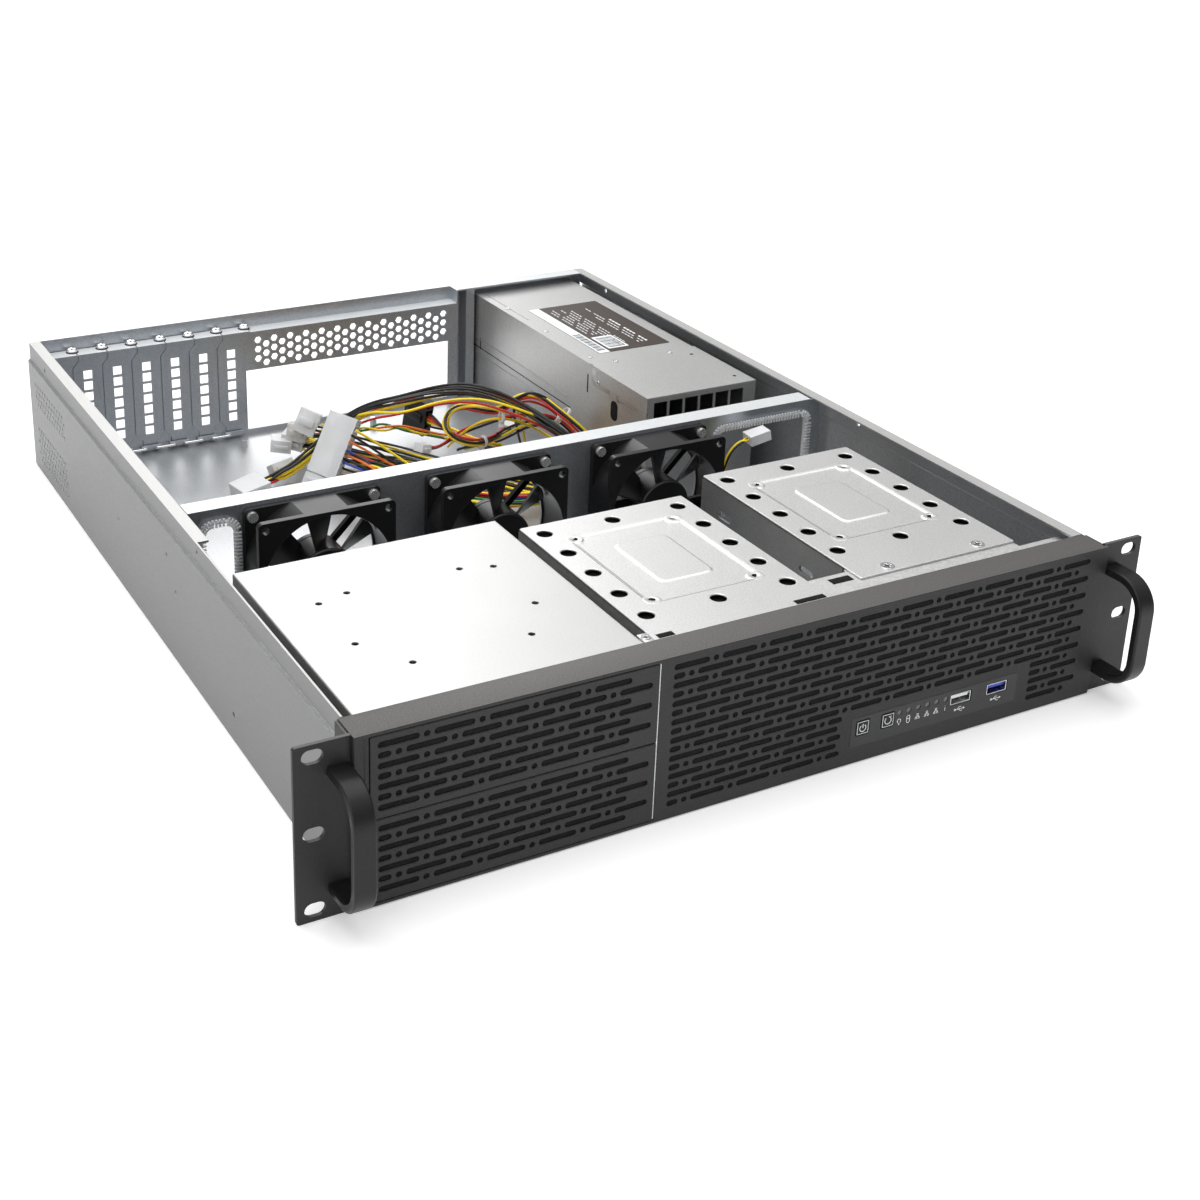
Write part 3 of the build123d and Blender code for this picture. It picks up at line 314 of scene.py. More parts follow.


# Sheets: lit tone, shaded tone, roughness, metal and speckle
# Coats: tone, roughness, grain and relief
# The top tones are painted light on the upper lips; the outer tone is painted shade on the outer faces of
# the side walls
sheetFinish("sideSteel", (0.60, 0.61, 0.62), (0.42, 0.43, 0.44), 0.36, 0.82, 900.0,
            top=(0.50, 0.50, 0.49), outer=(0.15, 0.15, 0.15))
# The blue cast of the wall steel is a painted reflection
sheetFinish("wallSteel", (0.58, 0.61, 0.65), (0.43, 0.46, 0.50), 0.36, 0.88, 900.0, top=(0.72, 0.74, 0.75))
sheetFinish("cageSteel", (0.80, 0.80, 0.79), (0.62, 0.62, 0.62), 0.43, 1.0, 1100.0)
sheetFinish("baySteel", (0.64, 0.64, 0.63), (0.53, 0.53, 0.53), 0.46, 1.0, 1100.0)
sheetFinish("psuSteel", (0.60, 0.60, 0.59), (0.43, 0.43, 0.43), 0.42, 0.85, 1000.0)
sheetFinish("screwSteel", (0.86, 0.86, 0.87), (0.74, 0.74, 0.75), 0.2, 1.0, 1500.0, 0.0002, 0.03)
sheetFinish("brightSteel", (0.93, 0.93, 0.93), (0.85, 0.85, 0.85), 0.24, 0.8, 1500.0, 0.0002, 0.03)
# The powder coat's top tone is dust and painted light on faces that look up
coatFinish("powderCoat", (0.0145, 0.0143, 0.0145), 0.52, 1250.0, 0.65, sheen=0.38, top=(0.13, 0.123, 0.117))
coatFinish("satinCoat", (0.005, 0.005, 0.0055), 0.38, 2200.0, 0.12, sheen=0.3)
coatFinish("blackPlastic", (0.007, 0.007, 0.0075), 0.33, 1600.0, 0.10)
# Black foam; the same finish makes the black sheets of painted shade in holes, openings and under the cage
# tops, and the dark seams
coatFinish("foam", (0.009, 0.009, 0.009), 0.85, 620.0, 1.0, 0.0, 0.12)
milkyFinish("milky", (0.86, 0.87, 0.88))
milkyFinish("milkyWarm", (0.80, 0.78, 0.74))
coatFinish("lamp", (0.11, 0.11, 0.11), 0.3, 900.0, 0.02, 0.0)
coatFinish("board", (0.010, 0.09, 0.035), 0.35, 300.0, 0.05)
coatFinish("printWhite", (0.72, 0.74, 0.76), 0.45, 1500.0, 0.02, 0.0)
coatFinish("film", (0.013, 0.013, 0.014), 0.44, 1800.0, 0.06, 0.0)
coatFinish("labelBrown", (0.030, 0.019, 0.013), 0.34, 800.0, 0.03, 0.0)
sheetFinish("brassPlate", (0.62, 0.55, 0.38), (0.52, 0.45, 0.30), 0.3, 1.0, 900.0)
coatFinish("wireBlack", (0.010, 0.010, 0.010), 0.38, 900.0, 0.05, 0.0)
wireTones = {
    "wireYellow": (0.86, 0.60, 0.008),
    "wireRed": (0.50, 0.016, 0.018),
    "wireOrange": (0.72, 0.16, 0.02),
    "wireGreen": (0.03, 0.16, 0.03),
    "wireBlue": (0.03, 0.06, 0.42),
}
for wireName, wireTone in wireTones.items():
    coatFinish(wireName, wireTone, 0.36, 900.0, 0.05, 0.0)

byNode = {
    "sideSteel": ["chassis_base"],
    "wallSteel": ["rear_panel", "fan_wall"] + [f"slot_cover_{i}" for i in range(1, 8)],
    "baySteel": ["bay_cage"],
    "cageSteel": ["drive_cage_middle", "drive_cage_right", "front_panel"],
    "psuSteel": ["psu_case_lower", "psu_case_upper", "psu_front_cover"],
    "brightSteel": ["fan_screws"],
    "screwSteel": ["slot_screws", "case_screws", "usb2_port", "usb3_port", "standoffs"],
    "powderCoat": ["bezel", "bay_cover_upper", "bay_cover_lower", "ear_left", "ear_right"],
    "satinCoat": ["handle_left", "handle_right"],
    "blackPlastic": [f"fan_{part}_{i}" for part in ("frame", "rotor") for i in range(1, 4)]
                    + ["psu_fan_frame", "psu_fan_rotor", "psu_inlet", "psu_switch", "psu_gland",
                       "power_button", "reset_button", "plug_sata",
                       "lead_main", "lead_cpu", "lead_sata", "lead_arch", "lead_loop"],
    "foam": ["dust_filters"],
    "lamp": ["status_leds"],
    "milky": ["cable_grommets", "plug_main", "plug_cpu", "plug_drive", "plug_loop", "plug_fan"],
    "board": ["io_board"],
    "labelBrown": ["psu_label"],
    "wireYellow": ["lead_fan"],
}
for finishName, members in byNode.items():
    for member in members:
        nodes[member].data.materials.clear()
        nodes[member].data.materials.append(finishes[finishName])
print("finishes ready")


# Handy steps for modelling

def clearSelection():
    for item in list(bpy.context.selected_objects):
        item.select_set(False)
    bpy.context.view_layer.objects.active = None


def pick(item):
    clearSelection()
    item.select_set(True)
    bpy.context.view_layer.objects.active = item


def applyPlace():
    bpy.ops.object.transform_apply(location=True, rotation=True, scale=True)


def startEdit():
    bpy.ops.object.mode_set(mode="EDIT")
    bpy.ops.mesh.select_all(action="SELECT")


def endEdit():
    bpy.ops.object.mode_set(mode="OBJECT")


def breakEdges(offset, rounds=2):
    startEdit()
    bpy.ops.mesh.bevel(offset=offset, segments=rounds, affect="EDGES")
    endEdit()


def settle(item, finishName=None, angle=30.0):
    # Applies the place and turn, shades by angle and gives the finish
    pick(item)
    applyPlace()
    bpy.ops.object.shade_smooth_by_angle(angle=math.radians(angle))
    if finishName:
        item.data.materials.clear()
        item.data.materials.append(finishes[finishName])
    return item


def join(items, name):
    clearSelection()
    for item in items:
        item.select_set(True)
    bpy.context.view_layer.objects.active = items[0]
    if len(items) > 1:
        bpy.ops.object.join()
    items[0].name = name
    return items[0]


def slab(x0, x1, d0, d1, z0, z1, edge=0.3, finishName=None, rounds=2):
    # A block in case millimetres with its edges broken
    low, high = at(x0, d0, z0), at(x1, d1, z1)
    clearSelection()
    bpy.ops.mesh.primitive_cube_add(size=1, location=(low + high) / 2)
    item = bpy.context.object
    item.scale = high - low
    applyPlace()
    if edge:
        breakEdges(edge / 1000, rounds)
    return settle(item, finishName)


def slabs(boxes, edge, finishName):
    return [slab(*box, edge, finishName) for box in boxes]


def turnMesh(item, matrix):
    item.data.transform(matrix)
    item.data.update()


# Leads

def smoothLine(route, step=0.0015):
    # Points along the soft line that follows a route, evenly spaced
    curve = bpy.data.curves.new("line", "CURVE")
    curve.dimensions = "3D"
    spline = curve.splines.new("NURBS")
    spline.points.add(len(route) - 1)
    for point, place in zip(spline.points, route):
        point.co = (*at(*place), 1)
    spline.order_u = 3
    spline.use_endpoint_u = True
    spline.resolution_u = 24
    holder = bpy.data.objects.new("line", curve)
    bpy.context.collection.objects.link(holder)
    bpy.context.view_layer.update()
    dense = np.array([v.co for v in holder.to_mesh().vertices], float)
    holder.to_mesh_clear()
    bpy.data.objects.remove(holder)
    along = np.concatenate([[0], np.cumsum(np.linalg.norm(np.diff(dense, axis=0), axis=1))])
    count = max(8, int(round(along[-1] / step)))
    marks = np.linspace(0, along[-1], count + 1)
    return np.stack([np.interp(marks, along, dense[:, k]) for k in range(3)], axis=1), along[-1]


def carriedAxes(line):
    # Side and upper directions carried along a line without twisting
    tangents = np.gradient(line, axis=0)
    tangents /= np.linalg.norm(tangents, axis=1)[:, None]
    side = np.cross([0, 0, 1.0], tangents[0])
    side /= np.linalg.norm(side)
    sides = []
    for tangent in tangents:
        side = side - tangent * np.dot(side, tangent)
        side /= np.linalg.norm(side)
        sides.append(side)
    sides = np.array(sides)
    return sides, np.cross(tangents, sides)


def seatAt(tip, direction, lean=0.0):
    # A socket's seat: its tip, then its directions across, up and onwards
    onward = Vector(direction).normalized()
    across = Vector((0, 0, 1)).cross(onward).normalized()
    upward = onward.cross(across)
    turn = math.radians(lean)
    leaned = across * math.cos(turn) + upward * math.sin(turn)
    return tip, leaned, upward * math.cos(turn) - across * math.sin(turn), onward


def routeEnd(route, lean):
    tip, tail = at(*route[-1]), at(*route[-2])
    return seatAt(tip, tip - tail, lean)


def pinPlaces(rows, columns, pitch):
    middleColumn, middleRow = (columns - 1) / 2, (rows - 1) / 2
    return [((c - middleColumn) * pitch / 1000, (r - middleRow) * pitch / 1000)
            for c in range(columns) for r in range(rows)]


def wireMesh(name, strands, thickness, sides=2, smooth=False, steps=6):
    # Every strand is a finish and its places, straight runs of close points or a soft line through few
    curve = bpy.data.curves.new(name, "CURVE")
    curve.dimensions = "3D"
    curve.bevel_depth = thickness / 1000
    curve.bevel_resolution = sides
    curve.use_fill_caps = True
    curve.resolution_u = steps
    tones = sorted({tone for tone, places in strands})
    for tone in tones:
        curve.materials.append(finishes[tone])
    for tone, places in strands:
        spline = curve.splines.new("NURBS" if smooth else "POLY")
        spline.points.add(len(places) - 1)
        spline.points.foreach_set("co", [v for place in places for v in (*place, 1.0)])
        if smooth:
            spline.order_u = 3
            spline.use_endpoint_u = True
        spline.material_index = tones.index(tone)
        spline.use_smooth = True
    holder = bpy.data.objects.new(name, curve)
    bpy.context.collection.objects.link(holder)
    pick(holder)
    bpy.ops.object.convert(target="MESH")
    wires = bpy.context.object
    wires.name = name
    bpy.ops.object.shade_smooth_by_angle(angle=math.radians(60))
    return wires


def makeBundle(name, look):
    line, length = smoothLine(look["route"])
    sides, uppers = carriedAxes(line)
    across, upward, onward = routeEnd(look["route"], look["lean"])[1:]
    pins = pinPlaces(look["rows"], look["columns"], look["pitch"])
    wires = look["wires"]
    share = np.linspace(0, length, len(line))
    spread = np.clip((share - (length - look["spread"] / 1000)) / (look["spread"] / 1000), 0, 1)
    spread = (spread * spread * (3 - 2 * spread))[:, None]
    reach = (look["bundle"] - look["wire"]) / 1000
    strands = []
    for index, tone in enumerate(wires):
        radius = reach * (0.82 + 0.18 * math.sin(index * 2.4))
        twist = look["twist"] * 2 * math.pi * share / 0.1  # turns in ten centimetres
        angle = index * 2 * math.pi / len(wires) + twist + 0.25 * np.sin(share * 41 + index * 2.1)
        sway = 0.12 * reach * np.sin(share * 63 + index * 1.7)
        offset = sides * ((radius * np.cos(angle) + sway)[:, None])
        offset = offset + uppers * ((radius * np.sin(angle) + sway)[:, None])
        pinX, pinY = pins[index % len(pins)]
        seat = np.array(across * pinX + upward * pinY)
        places = line + offset * (1 - spread) + seat[None] * spread
        every = places[::2] if len(places) % 2 else np.concatenate([places[::2], places[-1:]])
        intoSocket = tuple(every[-1] + np.array(onward) * 0.002)
        strands.append((tone, [tuple(p) for p in every] + [intoSocket]))
    bundle = wireMesh(name + "Wires", strands, look["wire"])
    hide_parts(name)
    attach(bundle, "case")
    return bundle, line, length


def makeHousing(name, size, rows, columns, place, finishName, latch=True):
    # A socket block: pockets for the wires at its back, then the body and a latch
    width, height, length = (v / 1000 for v in size)
    clearSelection()
    bpy.ops.mesh.primitive_grid_add(x_subdivisions=columns, y_subdivisions=rows, size=1, location=(0, 0, 0))
    block = bpy.context.object
    block.scale = (width, height, 1)
    applyPlace()
    startEdit()
    bpy.ops.mesh.inset(thickness=min(width / columns, height / rows) * 0.16, use_individual=True)
    bpy.ops.mesh.extrude_region_move(TRANSFORM_OT_translate={"value": (0, 0, length * 0.3)})
    bpy.ops.mesh.select_all(action="DESELECT")
    bpy.ops.mesh.select_mode(type="EDGE")
    bpy.ops.mesh.select_non_manifold(extend=False, use_wire=False, use_boundary=True, use_multi_face=False,
                                     use_non_contiguous=False, use_verts=False)
    bpy.ops.mesh.extrude_edges_move(TRANSFORM_OT_translate={"value": (0, 0, length * 0.78)})
    bpy.ops.transform.resize(value=(0.94, 0.985, 1))
    bpy.ops.mesh.extrude_edges_move(TRANSFORM_OT_translate={"value": (0, 0, length * 0.22)})
    bpy.ops.mesh.edge_face_add()
    bpy.ops.mesh.select_mode(type="VERT")
    bpy.ops.mesh.select_all(action="SELECT")
    bpy.ops.mesh.normals_make_consistent(inside=False)
    endEdit()
    parts = [settle(block, finishName)]
    if latch:
        clearSelection()
        bpy.ops.mesh.primitive_cube_add(size=1, location=(width / 2 + 0.0007, 0, length * 0.5))
        hook = bpy.context.object
        hook.scale = (0.0014, min(height * 0.3, 0.006), length * 0.7)
        applyPlace()
        breakEdges(0.0003)
        parts.append(settle(hook, finishName))
    housing = join(parts, name)
    tip, across, upward, onward = place
    turn = Matrix((across, upward, onward)).transposed().to_4x4()
    turnMesh(housing, Matrix.Translation(tip) @ turn)
    return housing


def makeTie(name, place, direction, radius):
    onward = Vector(direction).normalized()
    clearSelection()
    bpy.ops.mesh.primitive_torus_add(major_radius=radius / 1000, minor_radius=0.0007, major_segments=24,
                                     minor_segments=8)
    band = bpy.context.object
    band.scale = (1, 1, 1.8)
    applyPlace()
    clearSelection()
    bpy.ops.mesh.primitive_cube_add(size=0.0036, location=(radius / 1000 + 0.0012, 0, 0))
    head = bpy.context.object
    breakEdges(0.0005)
    tie = join([band, head], name)
    turn = onward.to_track_quat("Z", "Y").to_matrix().to_4x4()
    turnMesh(tie, Matrix.Translation(at(*place)) @ turn @ Matrix.Rotation(math.radians(-70), 4, "Z"))
    settle(tie, "milky", 40)
    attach(tie, "case")
    return tie


black, yellow, red = "wireBlack", "wireYellow", "wireRed"
orange, green, blue = "wireOrange", "wireGreen", "wireBlue"
# Each route runs in case millimetres, and a socket has its width, height, length, rows and columns
leads = {
    "lead_main": {
        "route": [(115.5, 309, 20), (90, 319, 16), (55, 332, 10), (23, 344, 9.5), (-2, 369, 12),
                  (-22, 388, 20), (-44, 410, 28)],
        "wires": [black, yellow, black, red, blue, black, orange, black, yellow, black, green, red],
        "bundle": 5.6, "wire": 0.9, "twist": 0.3, "spread": 26, "lean": 27, "rows": 4, "columns": 2,
        "pitch": 2.6, "plug": "plug_main", "socket": (13.0, 51.6, 20.0, 12, 2), "diameter": 11.0,
    },
    "lead_cpu": {
        "route": [(115.5, 323, 13), (91, 330, 8), (66, 350, 5.5), (45, 380, 5.2), (21, 412, 5.4),
                  (-6, 440, 6.5), (-26, 463, 10), (-45, 478, 14)],
        "wires": [black, yellow, black, yellow, black, yellow, black, yellow], "bundle": 3.9, "wire": 0.88,
        "twist": 0.3, "spread": 22, "lean": 0, "rows": 2, "columns": 4, "pitch": 3.1, "plug": "plug_cpu",
        "socket": (18.0, 10.0, 16.0, 2, 4), "diameter": 7.0,
    },
    "lead_sata": {
        "route": [(115.5, 348, 15), (103, 361, 19), (88, 390, 14), (73, 412, 12), (58, 430, 14),
                  (48, 449, 18), (42, 464, 21)],
        "wires": [black, yellow, orange, red, black], "bundle": 3.7, "wire": 0.88, "twist": 0.1,
        "spread": 24, "lean": 0, "rows": 5, "columns": 1, "pitch": 2.3, "plug": "plug_sata",
        "socket": (8.0, 26.0, 20.0, 5, 1), "diameter": 7.0,
    },
    "lead_arch": {
        "route": [(115.5, 333, 26), (98, 350, 34), (84, 360, 46), (71, 375, 56), (56, 389, 63),
                  (40, 402, 66), (18, 405, 66), (-4, 408, 62), (-18, 424, 54), (-30, 436, 43),
                  (-45, 438, 31), (-61, 439, 19), (-76, 437, 11.7), (-93, 434, 9.0)],
        "wires": [black, black, black, red, yellow, yellow, black], "bundle": 4.8, "wire": 0.96,
        "twist": 0.1, "spread": 16, "lean": 0, "rows": 1, "columns": 4, "pitch": 2.7, "plug": "plug_drive",
        "socket": (22.0, 9.0, 20.0, 1, 4), "diameter": 7.0,
    },
    "lead_loop": {
        "route": [(115.5, 354, 29), (103, 359, 43), (94, 370, 52), (86, 384, 60), (74, 390, 59),
                  (66, 391, 53), (60, 396, 48), (54, 410, 46), (48, 424, 45), (39, 426, 41), (32, 419, 35),
                  (33, 406, 30), (43, 397, 27), (60, 400, 26), (77, 413, 26)],
        "wires": [black, yellow, black, red], "bundle": 2.7, "wire": 0.82, "twist": 0.12, "spread": 9,
        "lean": 0, "rows": 1, "columns": 4, "pitch": 1.7, "plug": "plug_loop",
        "socket": (9.0, 6.0, 11.0, 1, 4), "diameter": 4.0,
    },
    "lead_fan": {
        "route": [(123.7, 231, 42), (130, 231, 46), (132.5, 231, 56), (135.5, 231, 66), (142, 230.5, 73),
                  (148, 230, 74.2)],
        "wires": [yellow, black, yellow], "bundle": 1.4, "wire": 0.62, "twist": 0.5, "spread": 5, "lean": 0,
        "rows": 1, "columns": 3, "pitch": 1.6, "plug": "plug_fan", "socket": (10.5, 6.4, 14.0, 1, 3),
        "diameter": 2.7,
    },
}

# Wires that leave their bundle: finish and places in case millimetres, with the lead they belong to
looseWires = {
    "lead_main": [
        (yellow, [(40, 338, 12), (22, 350, 14), (6, 372, 16), (-8, 390, 24), (-20, 398, 34), (-33, 400, 44),
                  (-40, 402, 49)]),
        (black, [(40, 339, 9), (20, 352, 10), (3, 374, 12), (-10, 392, 20), (-23, 400, 30), (-35, 403, 40),
                 (-42, 405, 45)]),
        (orange, [(38, 341, 10), (18, 354, 11), (0, 376, 14), (-12, 392, 20), (-25, 400, 28), (-36, 404, 36),
                  (-43, 407, 40)]),
        (blue, [(38, 337, 7), (17, 351, 7.5), (-1, 372, 9), (-13, 388, 14), (-26, 398, 22), (-37, 405, 29),
                (-45, 409, 34)]),
        (black, [(38, 336, 9), (16, 348, 8), (-2, 368, 8), (-14, 384, 12), (-27, 396, 17), (-38, 406, 22),
                 (-46, 412, 27)]),
        (black, [(36, 338, 12), (14, 350, 11), (-4, 368, 11), (-16, 384, 13), (-28, 396, 15), (-39, 407, 17),
                 (-48, 415, 20)]),
        (red, [(36, 337, 6), (12, 346, 5), (-6, 362, 5), (-18, 378, 7), (-30, 394, 10), (-40, 408, 13),
               (-50, 418, 15)]),
        (black, [(34, 335, 5), (10, 342, 4), (-8, 358, 4), (-20, 374, 5), (-32, 392, 7), (-42, 409, 9),
                 (-51, 421, 11)]),
        (yellow, [(33, 333, 5), (8, 338, 4), (-10, 354, 4), (-22, 371, 4.5), (-34, 390, 6), (-44, 410, 8),
                  (-53, 423, 9)]),
    ],
    "lead_sata": [
        (orange, [(78, 408, 14), (62, 426, 17), (45, 434, 19), (30, 434, 24), (15, 427, 32), (4, 428, 36),
                  (-9, 432, 35), (-18, 441, 31), (-24, 452, 27), (-34, 462, 24), (-42, 470, 22)]),
        (green, [(78, 411, 12), (62, 430, 13), (47, 436, 15), (31, 431, 22), (17, 431, 27), (5, 425, 33),
                 (-8, 435, 38), (-18, 438, 31), (-25, 455, 29), (-34, 459, 22), (-42, 472, 19)]),
        (yellow, [(78, 406, 12), (63, 424, 14), (46, 431, 17), (32, 437, 21), (16, 424, 29), (5, 431, 34),
                  (-9, 429, 33), (-19, 443, 34), (-24, 450, 25), (-33, 464, 26), (-41, 471, 24)]),
    ],
    "lead_cpu": [
        (black, [(70, 352, 9), (48, 384, 9), (28, 412, 9), (4, 440, 13), (-20, 452, 18), (-36, 458, 25),
                 (-44, 466, 27)]),
        (black, [(70, 354, 12), (50, 386, 12), (30, 412, 12), (8, 438, 16), (-16, 452, 21), (-33, 456, 28),
                 (-42, 463, 30)]),
        (yellow, [(70, 350, 11), (46, 382, 11), (25, 414, 11), (3, 444, 14), (-15, 456, 20), (-30, 455, 28),
                  (-40, 461, 32)]),
        (black, [(68, 349, 8), (44, 381, 8), (22, 415, 8), (0, 443, 12), (-18, 457, 17), (-34, 461, 22),
                 (-46, 471, 22)]),
        (black, [(30, 402, 8), (8, 424, 9), (-12, 440, 9), (-26, 455, 10), (-38, 463, 12), (-50, 473, 13),
                 (-56, 478, 13.5)]),
        (black, [(30, 404, 9), (10, 426, 11), (-10, 442, 11), (-24, 457, 12), (-37, 466, 14), (-50, 477, 15),
                 (-56, 481, 15)]),
        (yellow, [(32, 406, 8), (12, 428, 8), (-8, 444, 8), (-22, 452, 8), (-37, 460, 9), (-49, 472, 11),
                  (-55, 476, 12)]),
    ],
    "lead_arch": [
        (yellow, [(113, 340, 24), (98, 352, 36), (83, 366, 49), (62, 371, 59), (43, 383, 65), (17, 391, 65),
                  (-12, 391, 60), (-24, 413, 56), (-30, 440, 42), (-42, 446, 28), (-58, 446, 18),
                  (-68, 445, 15)]),
        (black, [(113, 336, 22), (99, 350, 33), (84, 364, 46), (64, 376, 57), (44, 390, 67), (16, 398, 68.5),
                 (-8, 404, 65), (-23, 424, 55), (-34, 440, 40), (-46, 444, 26), (-60, 445, 16),
                 (-69, 443, 13)]),
        (red, [(113, 338, 20), (97, 350, 31), (82, 362, 44), (60, 374, 55), (40, 390, 61), (14, 396, 61),
               (-10, 400, 56), (-22, 420, 48), (-33, 438, 34), (-48, 444, 21), (-61, 447, 14),
               (-69, 447, 13)]),
    ],
    "lead_loop": [
        (yellow, [(113, 366, 20), (104, 392, 27), (85, 380, 40), (66, 374, 52), (53, 381, 56), (42, 391, 57),
                  (32, 400, 54), (27, 403, 46), (31, 408, 34), (44, 411, 25), (57, 410, 20), (73, 412, 16)]),
        (yellow, [(113, 368, 17), (103, 398, 22), (81, 385, 38), (63, 380, 48), (49, 382, 50), (40, 390, 44),
                  (38, 403, 33), (40, 419, 22), (40, 428, 14)]),
        (red, [(113, 360, 24), (106, 376, 38), (92, 377, 47), (78, 378, 50), (64, 381, 50), (52, 389, 46),
               (42, 405, 36), (36, 414, 27), (26, 410, 24), (12, 396, 30), (4, 387, 36)]),
        (black, [(113, 362, 22), (106, 379, 36), (92, 380, 45), (78, 381, 48), (65, 384, 48), (54, 391, 43),
                 (44, 406, 33), (36, 416, 24), (25, 412, 22), (12, 399, 28), (5, 389, 33)]),
        (yellow, [(112, 372, 24), (108, 380, 40), (97, 380, 50), (86, 382, 58), (79, 386, 61), (75, 391, 57),
                  (75, 395, 48), (81, 399, 38), (87, 405, 24), (90, 408, 14)]),
        (black, [(112, 374, 22), (110, 380, 40), (98, 379, 52), (87, 380, 61), (78, 383, 64), (72, 388, 59),
                 (72, 394, 48), (78, 401, 36), (84, 407, 22), (88, 410, 12)]),
        (black, [(113, 342, 18), (104, 353, 27), (97, 364, 38), (90, 374, 43), (82, 385, 42), (73, 396, 36),
                 (65, 405, 27), (56, 415, 19), (45, 424, 12)]),
        (black, [(113, 345, 15), (105, 356, 22), (98, 368, 34), (91, 379, 40), (84, 390, 38), (76, 401, 30),
                 (68, 410, 22), (60, 421, 14), (50, 432, 9)]),
        (black, [(113, 350, 13), (107, 361, 18), (101, 374, 30), (94, 386, 36), (87, 397, 33), (80, 407, 24),
                 (72, 418, 15), (66, 430, 9)]),
        (yellow, [(113, 347, 20), (103, 358, 31), (95, 371, 41), (86, 383, 42), (77, 395, 34), (69, 406, 24),
                  (62, 418, 15), (54, 430, 9)]),
        (red, [(112, 370, 20), (107, 381, 36), (96, 382, 48), (85, 384, 55), (77, 388, 56), (73, 394, 50),
               (76, 400, 38), (84, 406, 26)]),
    ],
}
# Loose sockets: lead, place, way, lean, size, pockets, finish
looseSockets = {
    "socketTall": ("lead_cpu", (-42, 464, 30), (-0.75, 0.55, 0.35), 18, (9.0, 17.0, 15.0), 4, 2, "milky"),
    "socketBack": ("lead_cpu", (-46, 472, 22), (-0.8, 0.6, 0.1), 10, (9.5, 12.0, 14.0), 3, 2, "milkyWarm"),
    "socketSmall": ("lead_cpu", (-56, 478, 13.5), (-0.9, 0.35, 0.12), 0, (13.0, 9.0, 14.0), 2, 3, "milky"),
    "socketFloor": ("lead_arch", (-69, 445, 13.5), (-0.92, -0.1, -0.12), 30, (12.0, 9.0, 15.0), 2, 2,
                    "milkyWarm"),
    "socketFront": ("lead_loop", (4.5, 388, 34.5), (-0.85, -0.4, 0.3), 0, (8.0, 5.5, 9.0), 1, 2, "milky"),
}
ties = {
    "tieLoop": ("lead_loop", (57, 382, 50), (-0.95, 0.25, 0.1), 4.6),
    "tieHigh": ("lead_loop", (101, 375, 47), (-0.6, 0.2, 0.75), 5.0),
    "tieLow": ("lead_loop", (52, 398, 27), (1.0, 0.2, 0.0), 3.6),
}
looseThickness = 0.86
longPart = {"height": 42.8, "rows": 10, "shift": 4.4}  # the two sockets of the main lead sit side by side
shortPart = {"height": 8.2, "rows": 2, "shift": 21.7}
extras = {name: [] for name in leads}
for leadName, strands in looseWires.items():
    placed = [(tone, [tuple(at(*place)) for place in places]) for tone, places in strands]
    loose = wireMesh(leadName + "Loose", placed, looseThickness, 2, True, 7)
    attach(loose, "case")
    extras[leadName].append(loose)
for socketName, (leadName, tip, way, lean, size, rows, columns, tone) in looseSockets.items():
    socket = makeHousing(socketName, size, rows, columns, seatAt(at(*tip), way, lean), tone)
    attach(socket, "case")
    extras[leadName].append(socket)
for tieName, (leadName, place, way, radius) in ties.items():
    extras[leadName].append(makeTie(tieName, place, way, radius))
for leadName, look in leads.items():
    bundle, line, length = makeBundle(leadName, look)
    width, height, deep, rows, columns = look["socket"]
    tip, across, upward, onward = routeEnd(look["route"], look["lean"])
    tone = "blackPlastic" if leadName == "lead_sata" else "milky"
    if leadName == "lead_main":
        longTip = Vector(tip) + Vector(upward) * (longPart["shift"] / 1000)
        shortTip = Vector(tip) - Vector(upward) * (shortPart["shift"] / 1000)
        longer = makeHousing("longSocket", (width, longPart["height"], deep), longPart["rows"], columns,
                             (longTip, across, upward, onward), tone, False)
        shorter = makeHousing("shortSocket", (width, shortPart["height"], deep), shortPart["rows"], columns,
                              (shortTip, across, upward, onward), tone)
        housing = join([longer, shorter], leadName + "Socket")
    else:
        housing = makeHousing(leadName + "Socket", (width, height, deep), rows, columns,
                              (tip, across, upward, onward), tone)
    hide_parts(look["plug"])
    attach(housing, "case")
print("leads ready")


# Bezel and bay covers: punched sheet with rounded slots

def ring(places):
    return [(float(x), float(z)) for x, z in places]


def roundedBox(x0, x1, z0, z1, radius, steps=5):
    corners = [(x1 - radius, z1 - radius, 0), (x0 + radius, z1 - radius, 90),
               (x0 + radius, z0 + radius, 180), (x1 - radius, z0 + radius, 270)]
    places = []
    for cx, cz, start in corners:
        for step in range(steps + 1):
            angle = math.radians(start + 90 * step / steps)
            places.append((cx + radius * math.cos(angle), cz + radius * math.sin(angle)))
    return ring(places)


def circle(x, z, radius, steps=16):
    turns = [2 * math.pi * k / steps for k in range(steps)]
    return ring([(x + radius * math.cos(turn), z + radius * math.sin(turn)) for turn in turns])


mergeWithin = 0.000005  # metres


